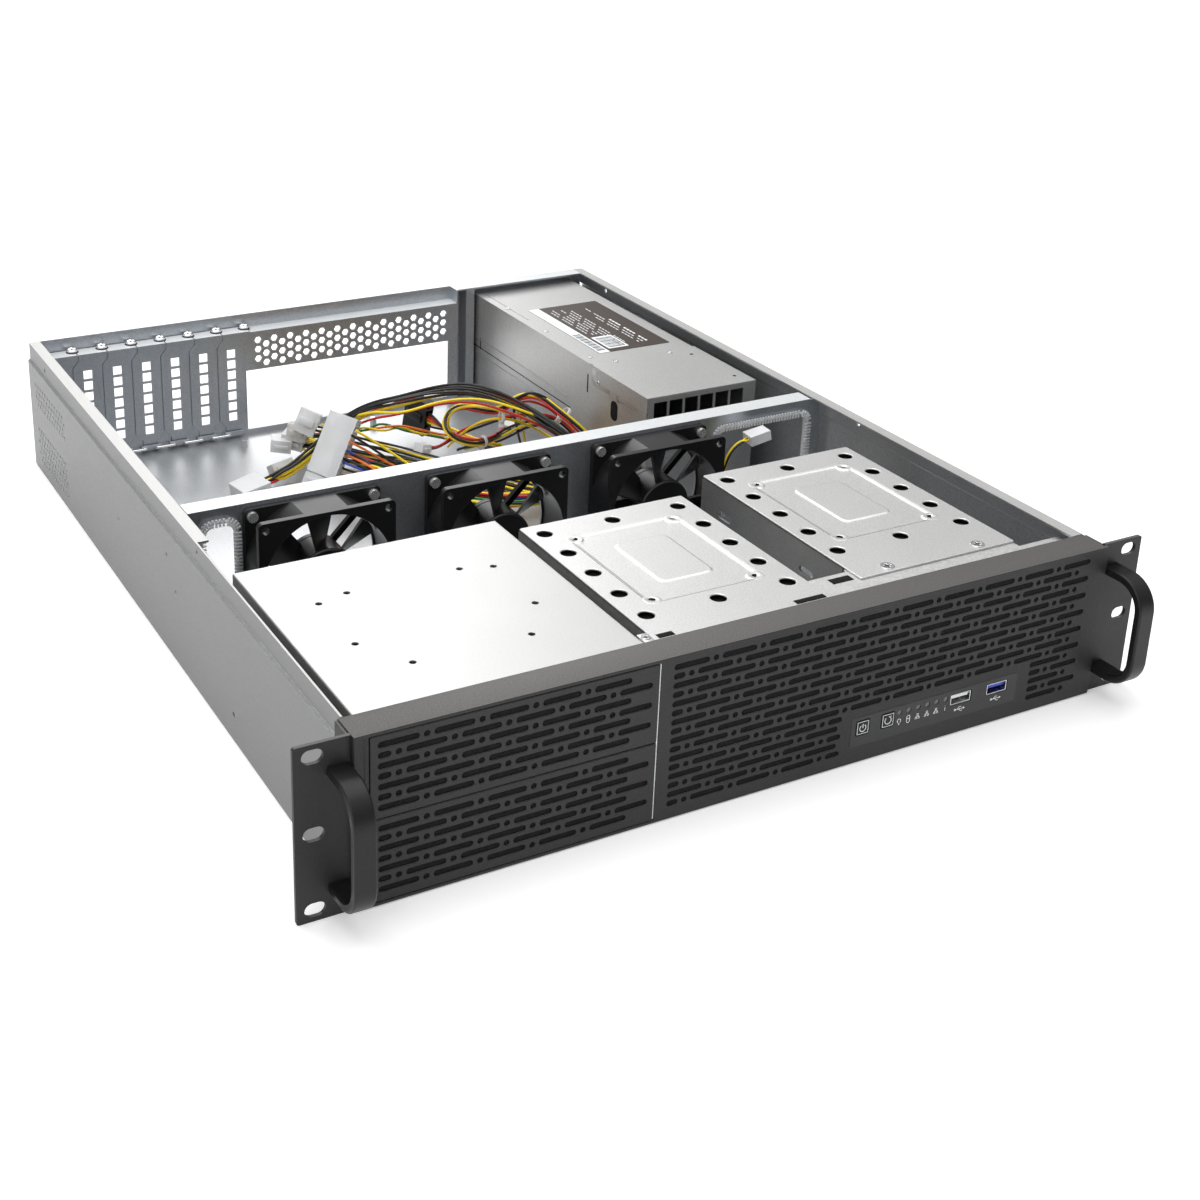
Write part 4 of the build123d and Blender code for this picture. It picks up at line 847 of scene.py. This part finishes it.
def punchedPlate(name, outline, holes, front, thickness, finishName, edge=0.15, place=None):
    # A flat sheet facing the front, or as its place says, with holes and a softly broken edge
    curve = bpy.data.curves.new(name, "CURVE")
    curve.dimensions = "2D"
    curve.fill_mode = "BOTH"
    curve.extrude = (thickness / 2 - edge) / 1000
    curve.bevel_depth = edge / 1000
    curve.bevel_resolution = 0
    curve.offset = -edge / 1000
    for loop in [outline] + holes:
        spline = curve.splines.new("POLY")
        spline.points.add(len(loop) - 1)
        spline.points.foreach_set("co", [v for x, z in loop for v in (x / 1000, z / 1000, 0.0, 1.0)])
        spline.use_cyclic_u = True
    plate = bpy.data.objects.new(name, curve)
    bpy.context.collection.objects.link(plate)
    pick(plate)
    bpy.ops.object.convert(target="MESH")
    plate = bpy.context.object
    upright = Matrix.Translation(at(0, front + thickness / 2, 0)) @ Matrix.Rotation(math.radians(90), 4, "X")
    turnMesh(plate, place or upright)
    plate.name = name
    startEdit()
    bpy.ops.mesh.remove_doubles(threshold=mergeWithin)
    bpy.ops.mesh.normals_make_consistent(inside=False)
    endEdit()
    return settle(plate, finishName, 25)


grille = {
    "left": -55.5, "right": 202.5, "top": 82.2, "rowPitch": 4.88, "rows": 16, "fullRows": 11, "pitch": 26.6,
    "slotRun": 19.5, "slotHeight": 3.1, "dot": 3.0, "panelLeft": 46.0, "panelRight": 169.0, "shortest": 6.1,
    "endGap": 3.2, "dotGap": 8.6, "doorPitch": 5.2, "doorRows": 7, "doorTop": 81.3, "doorMargin": 3.6,
}


def rowHoles(left, right, first, z):
    half = grille["slotHeight"] / 2
    holes = []
    start = first
    while start < right:
        slotStart = left if start < left + grille["endGap"] else start
        slotEnd = min(start + grille["slotRun"], right)
        if slotEnd - slotStart >= grille["shortest"]:
            holes.append(roundedBox(slotStart, slotEnd, z - half, z + half, half - 0.01, 3))
        dot = start + grille["slotRun"] + (grille["pitch"] - grille["slotRun"]) / 2
        if left + grille["endGap"] < dot < right - grille["dotGap"] and holes:
            holes.append(circle(dot, z, grille["dot"] / 2, 12))
        start += grille["pitch"]
    return holes


controls = {
    "z": 20.3, "power": 59.7, "pitch": 15.9, "button": 8.2, "gap": 0.3, "ledX": 83.0, "ledPitch": 6.0,
    "ledCount": 6, "ledZ": 22.6, "led": 2.8, "usbX": 123.2, "usbPitch": 24.3, "usbZ": 20.8, "usbWidth": 13.2,
    "usbHeight": 5.8, "face": -3.0, "portRoom": 0.4, "markProud": 0.12, "film": (52.5, 161.0, 10.1, 26.6),
}
bay = {"left": -208.2, "right": -62.6, "gap": 0.6, "split": 44.6, "sheet": 1.2}


def controlHoles():
    half = controls["button"] / 2 + controls["gap"]
    holes = []
    for k in range(2):
        x = controls["power"] + k * controls["pitch"]
        holes.append(roundedBox(x - half, x + half, controls["z"] - half, controls["z"] + half, 1.0, 3))
        u, w = controls["usbX"] + k * controls["usbPitch"], controls["usbZ"]
        halfWidth = controls["usbWidth"] / 2 + controls["portRoom"]
        halfHeight = controls["usbHeight"] / 2 + controls["portRoom"]
        holes.append(roundedBox(u - halfWidth, u + halfWidth, w - halfHeight, w + halfHeight, 0.5, 2))
    for k in range(controls["ledCount"]):
        x = controls["ledX"] + k * controls["ledPitch"]
        holes.append(circle(x, controls["ledZ"], controls["led"] / 2 + 0.1))
    return holes


def makeBezel():
    face, sheet = controls["face"], bay["sheet"]
    half, height = case["halfWidth"], case["height"]
    holes = [roundedBox(bay["left"], bay["right"], 2.0, 86.4, 0.6, 2)]
    for row in range(grille["rows"]):
        z = grille["top"] - row * grille["rowPitch"]
        first = grille["left"] - (row % 2) * grille["pitch"] / 2
        if row < grille["fullRows"]:
            holes += rowHoles(grille["left"], grille["right"], first, z)
        else:
            holes += rowHoles(grille["left"], grille["panelLeft"], first, z)
            holes += rowHoles(grille["panelRight"], grille["right"], first, z)
    holes += controlHoles()
    outline = roundedBox(-half, half, 0.6, height, 0.8, 3)
    parts = [punchedPlate("bezelPlate", outline, holes, face, 0.6, "powderCoat")]
    parts.append(slab(-half, half - 1.6, face + 0.1, 15.0, 86.8, height, 0.35, "powderCoat"))
    parts += slabs([(-half, half, face + 0.3, 2.0, 0.6, 1.8),
                    (half - sheet, half, face + 0.3, -0.02, 0.8, 87.8),
                    (-half, sheet - half, face + 0.3, -0.02, 0.8, 87.8)], 0.3, "powderCoat")
    rib = (-210.4, -209.4, face - 0.25, face + 0.6, 1.6, 86.6)  # beside the doors
    parts.append(slab(*rib, 0.2, "powderCoat"))
    feet = [(x - 2.0, x + 2.0, face + sheet, 10.0, 10.0, 14.0) for x in (52.7, 159.5)]
    parts += slabs(feet, 0.3, "powderCoat")
    bezel = join(parts, "bezelFace")
    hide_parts("bezel")
    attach(bezel, "case")


def makeCover(name, node, z0, z1, topRow):
    face, sheet = controls["face"], bay["sheet"]
    x0, x1 = bay["left"] + bay["gap"], bay["right"] - bay["gap"]
    left, right = x0 + grille["doorMargin"], x1 - grille["doorMargin"]
    holes = []
    for row in range(grille["doorRows"]):
        first = left - (row % 2) * grille["pitch"] / 2
        holes += rowHoles(left, right, first, topRow - row * grille["doorPitch"])
    outline = roundedBox(x0, x1, z0, z1, 0.9, 3)
    parts = [punchedPlate(name + "Plate", outline, holes, face, 0.7, "powderCoat", 0.2)]
    inset, back = 0.3, face + 4.8
    parts += slabs([(x0, x0 + sheet, face + inset, back, z0 + inset, z1 - inset),
                    (x1 - sheet, x1, face + inset, back, z0 + inset, z1 - inset),
                    (x0 + inset, x1 - inset, face + inset, back, z1 - sheet, z1),
                    (x0 + inset, x1 - inset, face + inset, back, z0, z0 + sheet)], 0.25, "powderCoat")
    for x in (x0 + 12.0, x1 - 26.0):  # clips that reach back into the bay
        parts += slabs([(x, x + 14.0, face + sheet, 10.0, z1 - 4.6, z1 - 3.4),
                        (x, x + 14.0, face + sheet, 10.0, z0 + 3.4, z0 + 4.6)], 0.2, "powderCoat")
    cover = join(parts, name)
    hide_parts(node)
    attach(cover, "case")


makeBezel()
makeCover("coverUpper", "bay_cover_upper", bay["split"] + 0.4, 85.8, grille["doorTop"])
lowerTop = grille["doorTop"] - 8 * grille["doorPitch"]
makeCover("coverLower", "bay_cover_lower", 2.6, bay["split"] - 0.4, lowerTop)
print("front ready")


# Marks and buttons

def strokes(name, lines, width, front, finishName, proud=0.06):
    # Printed marks: narrow lines that stand a hair proud of the face
    curve = bpy.data.curves.new(name, "CURVE")
    curve.dimensions = "3D"
    curve.bevel_depth = width / 2000
    curve.bevel_resolution = 1
    curve.use_fill_caps = True
    for line in lines:
        closed = len(line) > 2 and line[0] == line[-1]
        places = line[:-1] if closed else line
        spline = curve.splines.new("POLY")
        spline.points.add(len(places) - 1)
        spline.points.foreach_set("co", [v for x, z in places for v in (x / 1000, 0.0, z / 1000, 1.0)])
        spline.use_cyclic_u = closed
    marks = bpy.data.objects.new(name, curve)
    bpy.context.collection.objects.link(marks)
    pick(marks)
    bpy.ops.object.convert(target="MESH")
    marks = bpy.context.object
    flatten = Matrix.Diagonal((1, 2 * proud / width, 1, 1))
    turnMesh(marks, Matrix.Translation(at(0, front, 0)) @ flatten)
    marks.name = name
    return settle(marks, finishName, 60)


def arc(x, z, radius, start, end, steps=18):
    turns = [math.radians(start + (end - start) * k / steps) for k in range(steps + 1)]
    return [(x + radius * math.cos(turn), z + radius * math.sin(turn)) for turn in turns]


def boxLine(x, z, halfX, halfZ):
    return [(x - halfX, z - halfZ), (x + halfX, z - halfZ), (x + halfX, z + halfZ), (x - halfX, z + halfZ),
            (x - halfX, z - halfZ)]


def makeButton(name, node, body, x, symbol):
    half, z, face = controls["button"] / 2, controls["z"], controls["face"]
    cap = slab(x - half, x + half, face - 0.3, 1.0, z - half, z + half, 0.7, "satinCoat", 3)
    flange = slab(x - half - 1.2, x + half + 1.2, -1.5, -0.5, z - half - 1.2, z + half + 1.2,
                  0.2, "satinCoat")
    stem = slab(x - 2.0, x + 2.0, -0.5, 5.5, z - 2.0, z + 2.0, 0.2, "satinCoat")
    square = half - 0.75
    mark = strokes(name + "Mark", [boxLine(x, z, square, square)] + symbol, 0.42, face - 0.3, "printWhite")
    button = join([cap, flange, stem, mark], name)
    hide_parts(node)
    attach(button, body)


powerX, resetX, buttonZ = controls["power"], controls["power"] + controls["pitch"], controls["z"]
makeButton("powerCap", "power_button", "power_key", powerX,
           [arc(powerX, buttonZ - 0.3, 1.9, 125, 415), [(powerX, buttonZ - 0.2), (powerX, buttonZ + 2.1)]])
makeButton("resetCap", "reset_button", "reset_key", resetX,
           [arc(resetX, buttonZ - 0.1, 2.0, 130, 400),
            [(resetX + 0.4, buttonZ + 2.1), (resetX + 1.5, buttonZ + 1.1), (resetX + 1.7, buttonZ + 2.3)]])


def netMark(x, z):
    # Three small boxes joined by lines
    boxes = [boxLine(x + a, z + b, 0.5, 0.4) for a, b in ((0, 1.0), (-0.9, -1.0), (0.9, -1.0))]
    joining = [(x - 0.9, z - 0.6), (x - 0.9, z), (x + 0.9, z), (x + 0.9, z - 0.6)]
    return boxes + [[(x, z + 0.6), (x, z)], joining]


def makeMarks():
    z = controls["ledZ"] - 5.0
    xs = [controls["ledX"] + k * controls["ledPitch"] for k in range(controls["ledCount"])]
    first, second, last = xs[0], xs[1], xs[5]
    lines = [arc(first, z + 0.3, 1.1, -60, 240, 12)]  # a lamp with its foot
    lines += [[(first - 0.4, z - 1.3), (first + 0.4, z - 1.3)],
              [(first - 0.3, z - 1.8), (first + 0.3, z - 1.8)]]
    drum = arc(second, z + 1.0, 1.0, 0, 360, 12)[:-1] + [(second + 1.0, z + 1.0)]  # stands for the drives
    lines.append(drum)
    lines += [[(second + side, z + 1.0), (second + side, z - 1.2)] for side in (-1.0, 1.0)]
    lines += [arc(second, z - 1.2, 1.0, 180, 360, 8)]
    for x in xs[2:5]:
        lines += netMark(x, z)
    lines += [[(last, z - 1.5), (last, z + 0.4)], [(last - 0.05, z + 1.3), (last + 0.05, z + 1.5)]]
    for k in range(2):
        u, w = controls["usbX"] + k * controls["usbPitch"], controls["usbZ"] - 6.2
        # A branching line for a port
        lines += [[(u - 3.2, w), (u + 3.0, w)], arc(u - 3.2, w, 0.5, 0, 360, 8)]
        lines += [[(u + 2.2, w + 0.6), (u + 3.2, w), (u + 2.2, w - 0.6)]]
        lines += [[(u - 1.8, w), (u - 0.6, w + 1.2), (u + 0.8, w + 1.2)]]
        lines += [[(u - 0.8, w), (u + 0.4, w - 1.2), (u + 1.6, w - 1.2)]]
    marks = strokes("frontMarks", lines, 0.34, controls["face"] - controls["markProud"], "printWhite", 0.08)
    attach(marks, "case")


def makePanelFilm():
    # The thin film round the lamps and ports
    thickness = controls["markProud"]
    film = punchedPlate("panelFilm", roundedBox(*controls["film"], 1.2, 4), controlHoles(),
                        controls["face"] - thickness, thickness, "film", 0.03)
    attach(film, "case")


makeMarks()
makePanelFilm()


def makeUsb(name, node, x, tongue):
    z, halfWidth, halfHeight = controls["usbZ"], controls["usbWidth"] / 2, controls["usbHeight"] / 2
    left, right, low, high = x - halfWidth, x + halfWidth, z - halfHeight, z + halfHeight
    mouth = roundedBox(left + 0.4, right - 0.4, low + 0.4, high - 0.4, 0.3, 2)
    shell = punchedPlate(name + "Shell", roundedBox(left, right, low, high, 0.5, 2), [mouth], -2.8, 12.8,
                         "screwSteel", 0.08)
    back = slab(left + 0.3, right - 0.3, 9.0, 10.0, low + 0.3, high - 0.3, 0.1, "blackPlastic")
    bar = slab(left + 1.0, right - 1.0, -1.8, 9.2, z + 0.1, high - 0.8, 0.2, tongue)
    pads = slabs([(x + k - 0.5, x + k + 0.5, -1.4, 5.0, z + 0.04, z + 0.14) for k in (-3.5, -1.2, 1.2, 3.5)],
                 0.02, "brassPlate")
    port = join([shell, back, bar] + pads, name)
    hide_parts(node)
    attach(port, "case")


makeUsb("usbPlain", "usb2_port", controls["usbX"], "printWhite")
makeUsb("usbFast", "usb3_port", controls["usbX"] + controls["usbPitch"], "wireBlue")
print("controls ready")


# Cage tops, lying sheets and screws

def lying(top, thickness):
    # Place of a sheet that lies flat with its upper face at this height
    return Matrix.Translation(at(0, 0, top - thickness / 2))


def copyNode(node, name):
    twin = nodes[node].copy()
    twin.data = nodes[node].data.copy()
    twin.parent = None
    bpy.context.collection.objects.link(twin)
    twin.data.transform(nodes[node].matrix_world)
    twin.matrix_world = Matrix.Identity(4)
    twin.name = name
    pick(twin)
    startEdit()
    bpy.ops.mesh.remove_doubles(threshold=mergeWithin)
    endEdit()
    return twin


def stepped(item, steps):
    # Works the top face of a flat start inwards by pairs of width and rise in millimetres
    bpy.ops.object.mode_set(mode="EDIT")
    bpy.ops.mesh.select_mode(type="FACE")
    bpy.ops.mesh.select_all(action="SELECT")
    for width, rise in steps:
        bpy.ops.mesh.inset(thickness=width / 1000, depth=rise / 1000)
    endEdit()
    return item


cages = {
    "width": 102.6, "length": 144.5, "top": 84.5, "sheet": 1.2, "boss": (30.86, 38.3), "large": 4.2,
    "largeX": 41.8, "largeY": 25.4, "tray": (34.0, 41.6), "trayDrop": 0.7, "trayRound": 6.0,
    "pad": (17.0, 25.0), "backToMiddle": 62.2, "bossRadius": 5.6, "bossHole": 0.4,
}


def softPanel(x, depth, z, halfX, halfY, radius, steps):
    clearSelection()
    bpy.ops.mesh.primitive_plane_add(size=2, location=at(x, depth, z))
    panel = bpy.context.object
    panel.scale = (halfX / 1000, halfY / 1000, 1)
    applyPlace()
    startEdit()
    bpy.ops.mesh.bevel(offset=radius / 1000, segments=7, affect="VERTICES")
    endEdit()
    return settle(stepped(panel, steps), "cageSteel", 60)


def softBoss(x, depth, z, steps):
    # A raised ring whose middle ends in a shallow pit lined in black: painted shade for the hole
    clearSelection()
    bpy.ops.mesh.primitive_circle_add(vertices=28, radius=cages["bossRadius"] / 1000, fill_type="NGON",
                                      location=at(x, depth, z))
    boss = settle(stepped(bpy.context.object, steps), "cageSteel", 60)
    boss.data.materials.append(finishes["foam"])
    bpy.ops.object.mode_set(mode="EDIT")
    bpy.ops.mesh.extrude_region_move(TRANSFORM_OT_translate={"value": (0, 0, -cages["bossHole"] / 1000)})
    bpy.ops.mesh.select_more()
    boss.active_material_index = 1
    bpy.ops.object.material_slot_assign()
    endEdit()
    return boss


def crossHead(name, radius, height, place, way):
    # A round head with a cross cut into it
    arm, width = radius * 0.56, radius * 0.15
    cross = [(arm, width), (width, width), (width, arm), (-width, arm), (-width, width), (-arm, width),
             (-arm, -width), (-width, -width), (-width, -arm), (width, -arm), (width, -width), (arm, -width)]
    seat = Matrix.Translation(at(*place)) @ Vector(way).to_track_quat("Z", "Y").to_matrix().to_4x4()
    head = punchedPlate(name, circle(0, 0, radius, 28), [ring(cross)], 0, height, "screwSteel", height * 0.3,
                        seat @ Matrix.Translation((0, 0, height / 2000)))
    # A black disc under the head darkens the cross: painted shade in the recess
    floor = punchedPlate(name + "Floor", circle(0, 0, radius * 0.9, 20), [], 0, 0.3, "blackPlastic", 0.05,
                         seat @ Matrix.Translation((0, 0, 0.0002)))
    return join([head, floor], name)


def makeCage(name, node, x, cageBack, screws):
    top, sheet, drop = cages["top"], cages["sheet"], cages["trayDrop"]
    front, center = cageBack - cages["length"], cageBack - cages["backToMiddle"]
    halfWidth = cages["width"] / 2
    shell = copyNode(node, name + "Sides")
    startEdit()
    bpy.ops.mesh.bisect(plane_co=at(0, 0, top - sheet - 0.3), plane_no=(0, 0, 1), clear_outer=True)
    endEdit()
    settle(shell, "cageSteel")
    trayX, trayY = cages["tray"]
    holes = [roundedBox(x - trayX + 0.1, x + trayX - 0.1, center - trayY + 0.1, center + trayY - 0.1,
                        cages["trayRound"], 6)]
    for k in range(-2, 3):
        depth = center + k * cages["largeY"]
        for side in (-1, 1):
            holes.append(circle(x + side * cages["largeX"], depth, cages["large"], 28))
    for k in (-2, 2):
        holes.append(circle(x, center + k * cages["largeY"], cages["large"], 28))
    outline = roundedBox(x - halfWidth, x + halfWidth, front, cageBack, 1.2, 4)
    topSheet = punchedPlate(name + "Top", outline, holes, 0, sheet, "cageSteel", 0.35, lying(top, sheet))
    parts = [shell, topSheet]
    fall = [(0.8, 0.0), (0.3, -0.08), (0.45, -drop + 0.16), (0.3, -0.08), (0.5, 0.0)]
    rise = [(0.4, 0.0), (0.4, 0.1), (0.6, drop - 0.2), (0.4, 0.1), (0.5, 0.0)]
    swell = [(0.3, 0.0), (0.4, 0.1), (0.5, drop - 0.1), (0.3, 0.05), (0.3, 0.0), (1.7, 0.0), (0.25, -0.1)]
    parts.append(softPanel(x, center, top - 0.02, trayX, trayY, cages["trayRound"], fall))
    parts.append(softPanel(x, center, top - drop - 0.01, *cages["pad"], 5.0, rise))
    bossX, bossY = cages["boss"]
    for side in (-1, 1):
        for end in (-1, 1):
            parts.append(softBoss(x + side * bossX, center + end * bossY, top - drop, swell))
    # A black sheet under the holes: painted shade for the dark inside of the cage
    parts.append(slab(x - halfWidth + 1.4, x + halfWidth - 1.4, front + 1, cageBack - 1,
                      top - 3.6, top - 3.2, 0, "foam"))
    for place in screws:
        parts.append(crossHead(name + "Screw", 3.9, 0.5, (*place, top - 0.05), (0, 0, 1)))
    cage = join(parts, name)
    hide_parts(node)
    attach(cage, "case")


makeCage("cageMiddle", "drive_cage_middle", -0.2, 156.4, [])
makeCage("cageRight", "drive_cage_right", 128.8, 174.6, [(98.4, 35.2), (158.8, 35.2)])


def makeBayShadeSheet():
    # A black sheet under the bay top, painted shade, so that its small holes look into shade
    shadeSheet = slab(-204.6, -59.4, 6, 169, 81.0, 81.4, 0, "foam")
    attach(shadeSheet, "case")
    shadeSheet.name = "bayPaintedShade"


makeBayShadeSheet()


def makeScrews():
    parts = []
    for x, z in ((-31.0, 34.0), (30.5, 34.5), (-31.0, -35.0), (-4.0, -35.0)):
        parts.append(crossHead("rearScrew", 3.2, 1.9, (159.0 + x, 550.0, 41.0 + z), (0, 1, 0)))
    for side in (-221.0, 221.0):
        for z in (10.0, 78.0):
            parts.append(crossHead("handleScrew", 2.6, 1.8, (side, 2.0, z), (0, 1, 0)))
    screws = join(parts, "caseScrews")
    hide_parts("case_screws")
    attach(screws, "case")


def makeFoam():
    # Foam behind every row of slots, beside and above the controls
    foam = join(slabs([(-206.4, -64.6, -2.28, 1.3, 46.6, 84.4),
                       (-206.4, -64.6, -2.28, 1.3, 4.0, 42.8),
                       (-58.5, 205.5, -2.38, 1.2, 31.0, 85.0),
                       (-58.5, 50.0, -2.38, 1.2, 5.0, 31.2),
                       (163.0, 205.5, -2.38, 1.2, 5.0, 31.2)], 0.2, "foam"), "foamSheets")
    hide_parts("dust_filters")
    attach(foam, "case")
    # A white strip between the doors and the grille: a painted highlight
    paintedGleam = slab(-63.1, -62.5, -2.7, -1.2, 3.0, 86.0, 0.1, "printWhite")
    paintedGleam.name = "doorGapHighlight"
    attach(paintedGleam, "case")


def makeFlangeNotches():
    # Small openings of the flange behind the bezel, as black plates of painted shade, and its screwed tab
    spots = ((31.0, 49.0, 20.5, 24.5, 84.52), (62.0, 75.0, 32.0, 37.5, 83.32),
             (-49.0, -40.0, 20.5, 24.5, 84.52), (-206.0, -190.0, 15.4, 16.6, 83.32))
    plates = slabs([(x0, x1, d0, d1, z, z + 0.06) for x0, x1, d0, d1, z in spots], 0.02, "foam")
    notches = join(plates, "flangeNotchShades")
    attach(notches, "case")
    tab = slab(-57.2, -51.8, 17.0, 28.0, 83.3, 84.6, 0.3, "cageSteel")
    tabs = join([tab, crossHead("tabScrew", 2.4, 0.6, (-54.5, 24.0, 84.55), (0, 0, 1))], "flangeTab")
    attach(tabs, "case")


makeScrews()
makeFoam()
makeFlangeNotches()
print("cages ready")


# Power supply: label, seams, rivets and openings

power = {"side": 117.5, "top": 82.0, "coverTop": 82.8, "label": (134.0, 190.7, 386.0, 489.0)}


def flatSheets(name, boxes, top, thickness, finishName, radius=0.2):
    loops = [roundedBox(*box, radius, 2) for box in boxes]
    return punchedPlate(name, loops[0], loops[1:], 0, thickness, finishName, 0.01, lying(top, thickness))


def makePowerLabel():
    x0, x1, d0, d1 = power["label"]
    z = power["top"]
    parts = [flatSheets("labelField", [(x0, x1, d0, d1)], z + 0.16, 0.16, "labelBrown", 0.8)]
    strips = [(x0 + 0.2, x0 + 8.6, d0 + 0.2, d1 - 0.2), (x0 + 11.0, x0 + 27.0, d0 + 6, d0 + 31)]
    parts.append(flatSheets("labelStrip", strips, z + 0.2, 0.04, "printWhite"))
    bars = [(x0 + 1.4, x0 + 7.4, d0 + 5 + 1.9 * k, d0 + 5 + 1.9 * k + (0.9 if k % 3 else 1.4))
            for k in range(19)]
    bars += [(x0 + 12.5, x0 + 25.5, d0 + 8 + 1.5 * k, d0 + 8 + 1.5 * k + (0.6 if k % 4 else 1.0))
             for k in range(14)]
    parts.append(flatSheets("labelBars", bars, z + 0.23, 0.03, "film", 0.02))
    rows = []
    starts, runs = (36, 36, 36, 10, 10, 10, 10, 10, 10), (56, 60, 44, 84, 78, 86, 62, 80, 52)
    for k, (start, run) in enumerate(zip(starts, runs)):  # plain dashes in nine rows
        x = x0 + 12.5 + 3.1 * k + (6.0 if k > 5 else 0.0)
        for step in range(int(run / 4)):
            if (step * 7 + k * 3) % 5:
                dash = d0 + start + 4 * step
                rows.append((x, x + (1.5 if k == 8 else 0.75), dash, dash + 3.1))
    parts.append(flatSheets("labelRows", rows, z + 0.2, 0.04, "printWhite", 0.1))
    label = join(parts, "powerLabel")
    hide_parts("psu_label")
    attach(label, "case")


def makePowerDetails():
    side, top = power["side"], power["top"]
    seams = ((395.0, 545.0, 41.7, 42.4), (372.2, 373.6, 61.0, 74.0), (531.0, 532.2, 41.0, 50.0))
    dark = slabs([(side - 0.06, side + 0.4, *seam) for seam in seams], 0, "foam")
    faceLeft = Matrix(((0, 0, 1, 0), (1, 0, 0, 0), (0, 1, 0, 0), (0, 0, 0, 1)))
    onSide = Matrix.Translation((side / 1000, at(0, 0, 0)[1], 0)) @ faceLeft
    # The side opening is a black plate of painted shade
    opening = roundedBox(333.5, 342.0, 53.0, 66.5, 3.6, 6)
    dark.append(punchedPlate("powerHole", opening, [], 0, 0.3, "foam", 0.02, onSide))
    for x, depth in ((189.6, 357.0), (192.0, 309.0)):
        dark.append(punchedPlate("powerPin", circle(x, depth, 1.3, 16), [], 0, 0.1, "foam", 0.01,
                                 lying(power["coverTop"] + 0.04, 0.1)))
    marks = join(dark, "powerOpenings")
    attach(marks, "case")
    flaps = ((297.2, 333.0, 69.0, 82.7), (342.4, 366.0, 69.0, 82.7), (332.0, 343.4, 67.6, 82.7))
    # The side flap of the front cover, then the seams that stand proud
    steel = slabs([(side - 0.8, side, *flap) for flap in flaps], 0.25, "psuSteel")
    steel += slabs([(side - 0.5, side, 400.0, 540.0, 36.2, 37.4),
                    (side - 0.5, side, 400.0, 540.0, 48.2, 49.4),
                    (side + 6.0, side + 7.0, 470.0, 540.0, top - 0.2, top + 0.35)], 0.24, "psuSteel")
    rivets = ((1.7, 122.0, 499.0, top), (1.7, 123.0, 442.0, top), (1.7, 124.0, 382.0, top),
              (1.9, 134.6, 366.0, power["coverTop"]), (1.9, 177.6, 366.0, power["coverTop"]))
    for radius, x, depth, z in rivets:
        steel.append(crossHead("powerRivet", radius, 0.5, (x, depth, z), (0, 0, 1)))
    steel.append(crossHead("powerRivet", 1.7, 0.6, (side - 0.8, 358.0, 73.0), (-1, 0, 0)))
    fittings = join(steel, "powerFittings")
    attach(fittings, "case")


slots = {"count": 7, "pitch": 20.32, "firstScrew": (-186.4, 543.5, 79.2)}


def makeHooks():
    # Bent wire at the feet of the slot covers
    hooks = []
    for k in range(6):
        x = -188.8 + slots["pitch"] * k
        places = [(x - 6.5, 536.6, 3.0), (x - 7.0, 533.6, 4.4), (x - 6.0, 532.0, 4.8),
                  (x + 6.0, 532.0, 4.8), (x + 7.0, 533.6, 4.4), (x + 6.5, 536.6, 3.0)]
        hooks.append(("screwSteel", [tuple(at(*place)) for place in places]))
    staples = wireMesh("slotHooks", hooks, 0.9, 3, True, 5)
    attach(staples, "case")


makePowerLabel()
makePowerDetails()
makeHooks()
print("power supply ready")


# Edge trims with teeth, and the screws of the slot covers

trims = {
    "bottom": 20.0, "top": 79.5, "round": 7.0, "width": 3.0, "front": 242.0, "deep": 5.0, "tooth": 1.1,
    "pitch": 2.1, "lip": 1.3,
}


def trimSpots(left, right):
    # Where the teeth stand round one opening, and the way that each looks
    low, high, reach, pitch = trims["bottom"], trims["top"], trims["round"], trims["pitch"]
    spots = []
    for k in range(int((right - left - 2 * reach) / pitch) + 1):
        x = left + reach + k * pitch
        spots += [(x, low, 90), (x, high, -90)]
    for k in range(int((high - low - 2 * reach) / pitch) + 1):
        z = low + reach + k * pitch
        spots += [(left, z, 0), (right, z, 180)]
    corners = ((right - reach, high - reach, 0), (left + reach, high - reach, 90),
               (left + reach, low + reach, 180), (right - reach, low + reach, 270))
    for k in range(1, 6):
        for cx, cz, start in corners:
            way = math.radians(start + 90 * k / 6)
            spots.append((cx + reach * math.cos(way), cz + reach * math.sin(way), start + 90 * k / 6 + 180))
    return spots


def makeTrims():
    low, high, reach, lip = trims["bottom"], trims["top"], trims["round"], trims["lip"]
    half = trims["tooth"] / 2
    corners = ((-1.6, -half), (trims["width"], -half), (trims["width"], half), (-1.6, half))
    parts = []
    teeth = []
    for left, right in ((-199.0, -177.5), (131.5, 204.0)):
        outer = roundedBox(left, right, low, high, reach, 6)
        inner = roundedBox(left + lip, right - lip, low + lip, high - lip, reach - lip, 6)
        parts.append(punchedPlate("trimBand", outer, [inner], trims["front"], trims["deep"], "milky", 0.3))
        for x, z, way in trimSpots(left, right):
            cosine, sine = math.cos(math.radians(way)), math.sin(math.radians(way))
            teeth.append(ring([(x + u * cosine - v * sine, z + u * sine + v * cosine) for u, v in corners]))
    parts.append(punchedPlate("trimTeeth", teeth[0], teeth[1:], trims["front"] - 0.5, 1.1, "milky", 0.12))
    trim = join(parts, "edgeTrims")
    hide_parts("cable_grommets")
    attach(trim, "case")


def makeSlotScrews():
    x, depth, z = slots["firstScrew"]
    parts = []
    for k in range(slots["count"]):
        place = (x + slots["pitch"] * k, depth, z)
        parts.append(crossHead("slotScrew", 3.5, 2.4, place, (0, 0, 1)))
        parts.append(punchedPlate("slotScrewSeat", circle(place[0], depth, 4.3, 24), [], 0, 0.3, "film",
                                  0.05,
                                  lying(z + 0.25, 0.3)))
    screws = join(parts, "slotScrews")
    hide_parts("slot_screws")
    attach(screws, "case")


makeTrims()
makeSlotScrews()
print("trims ready")
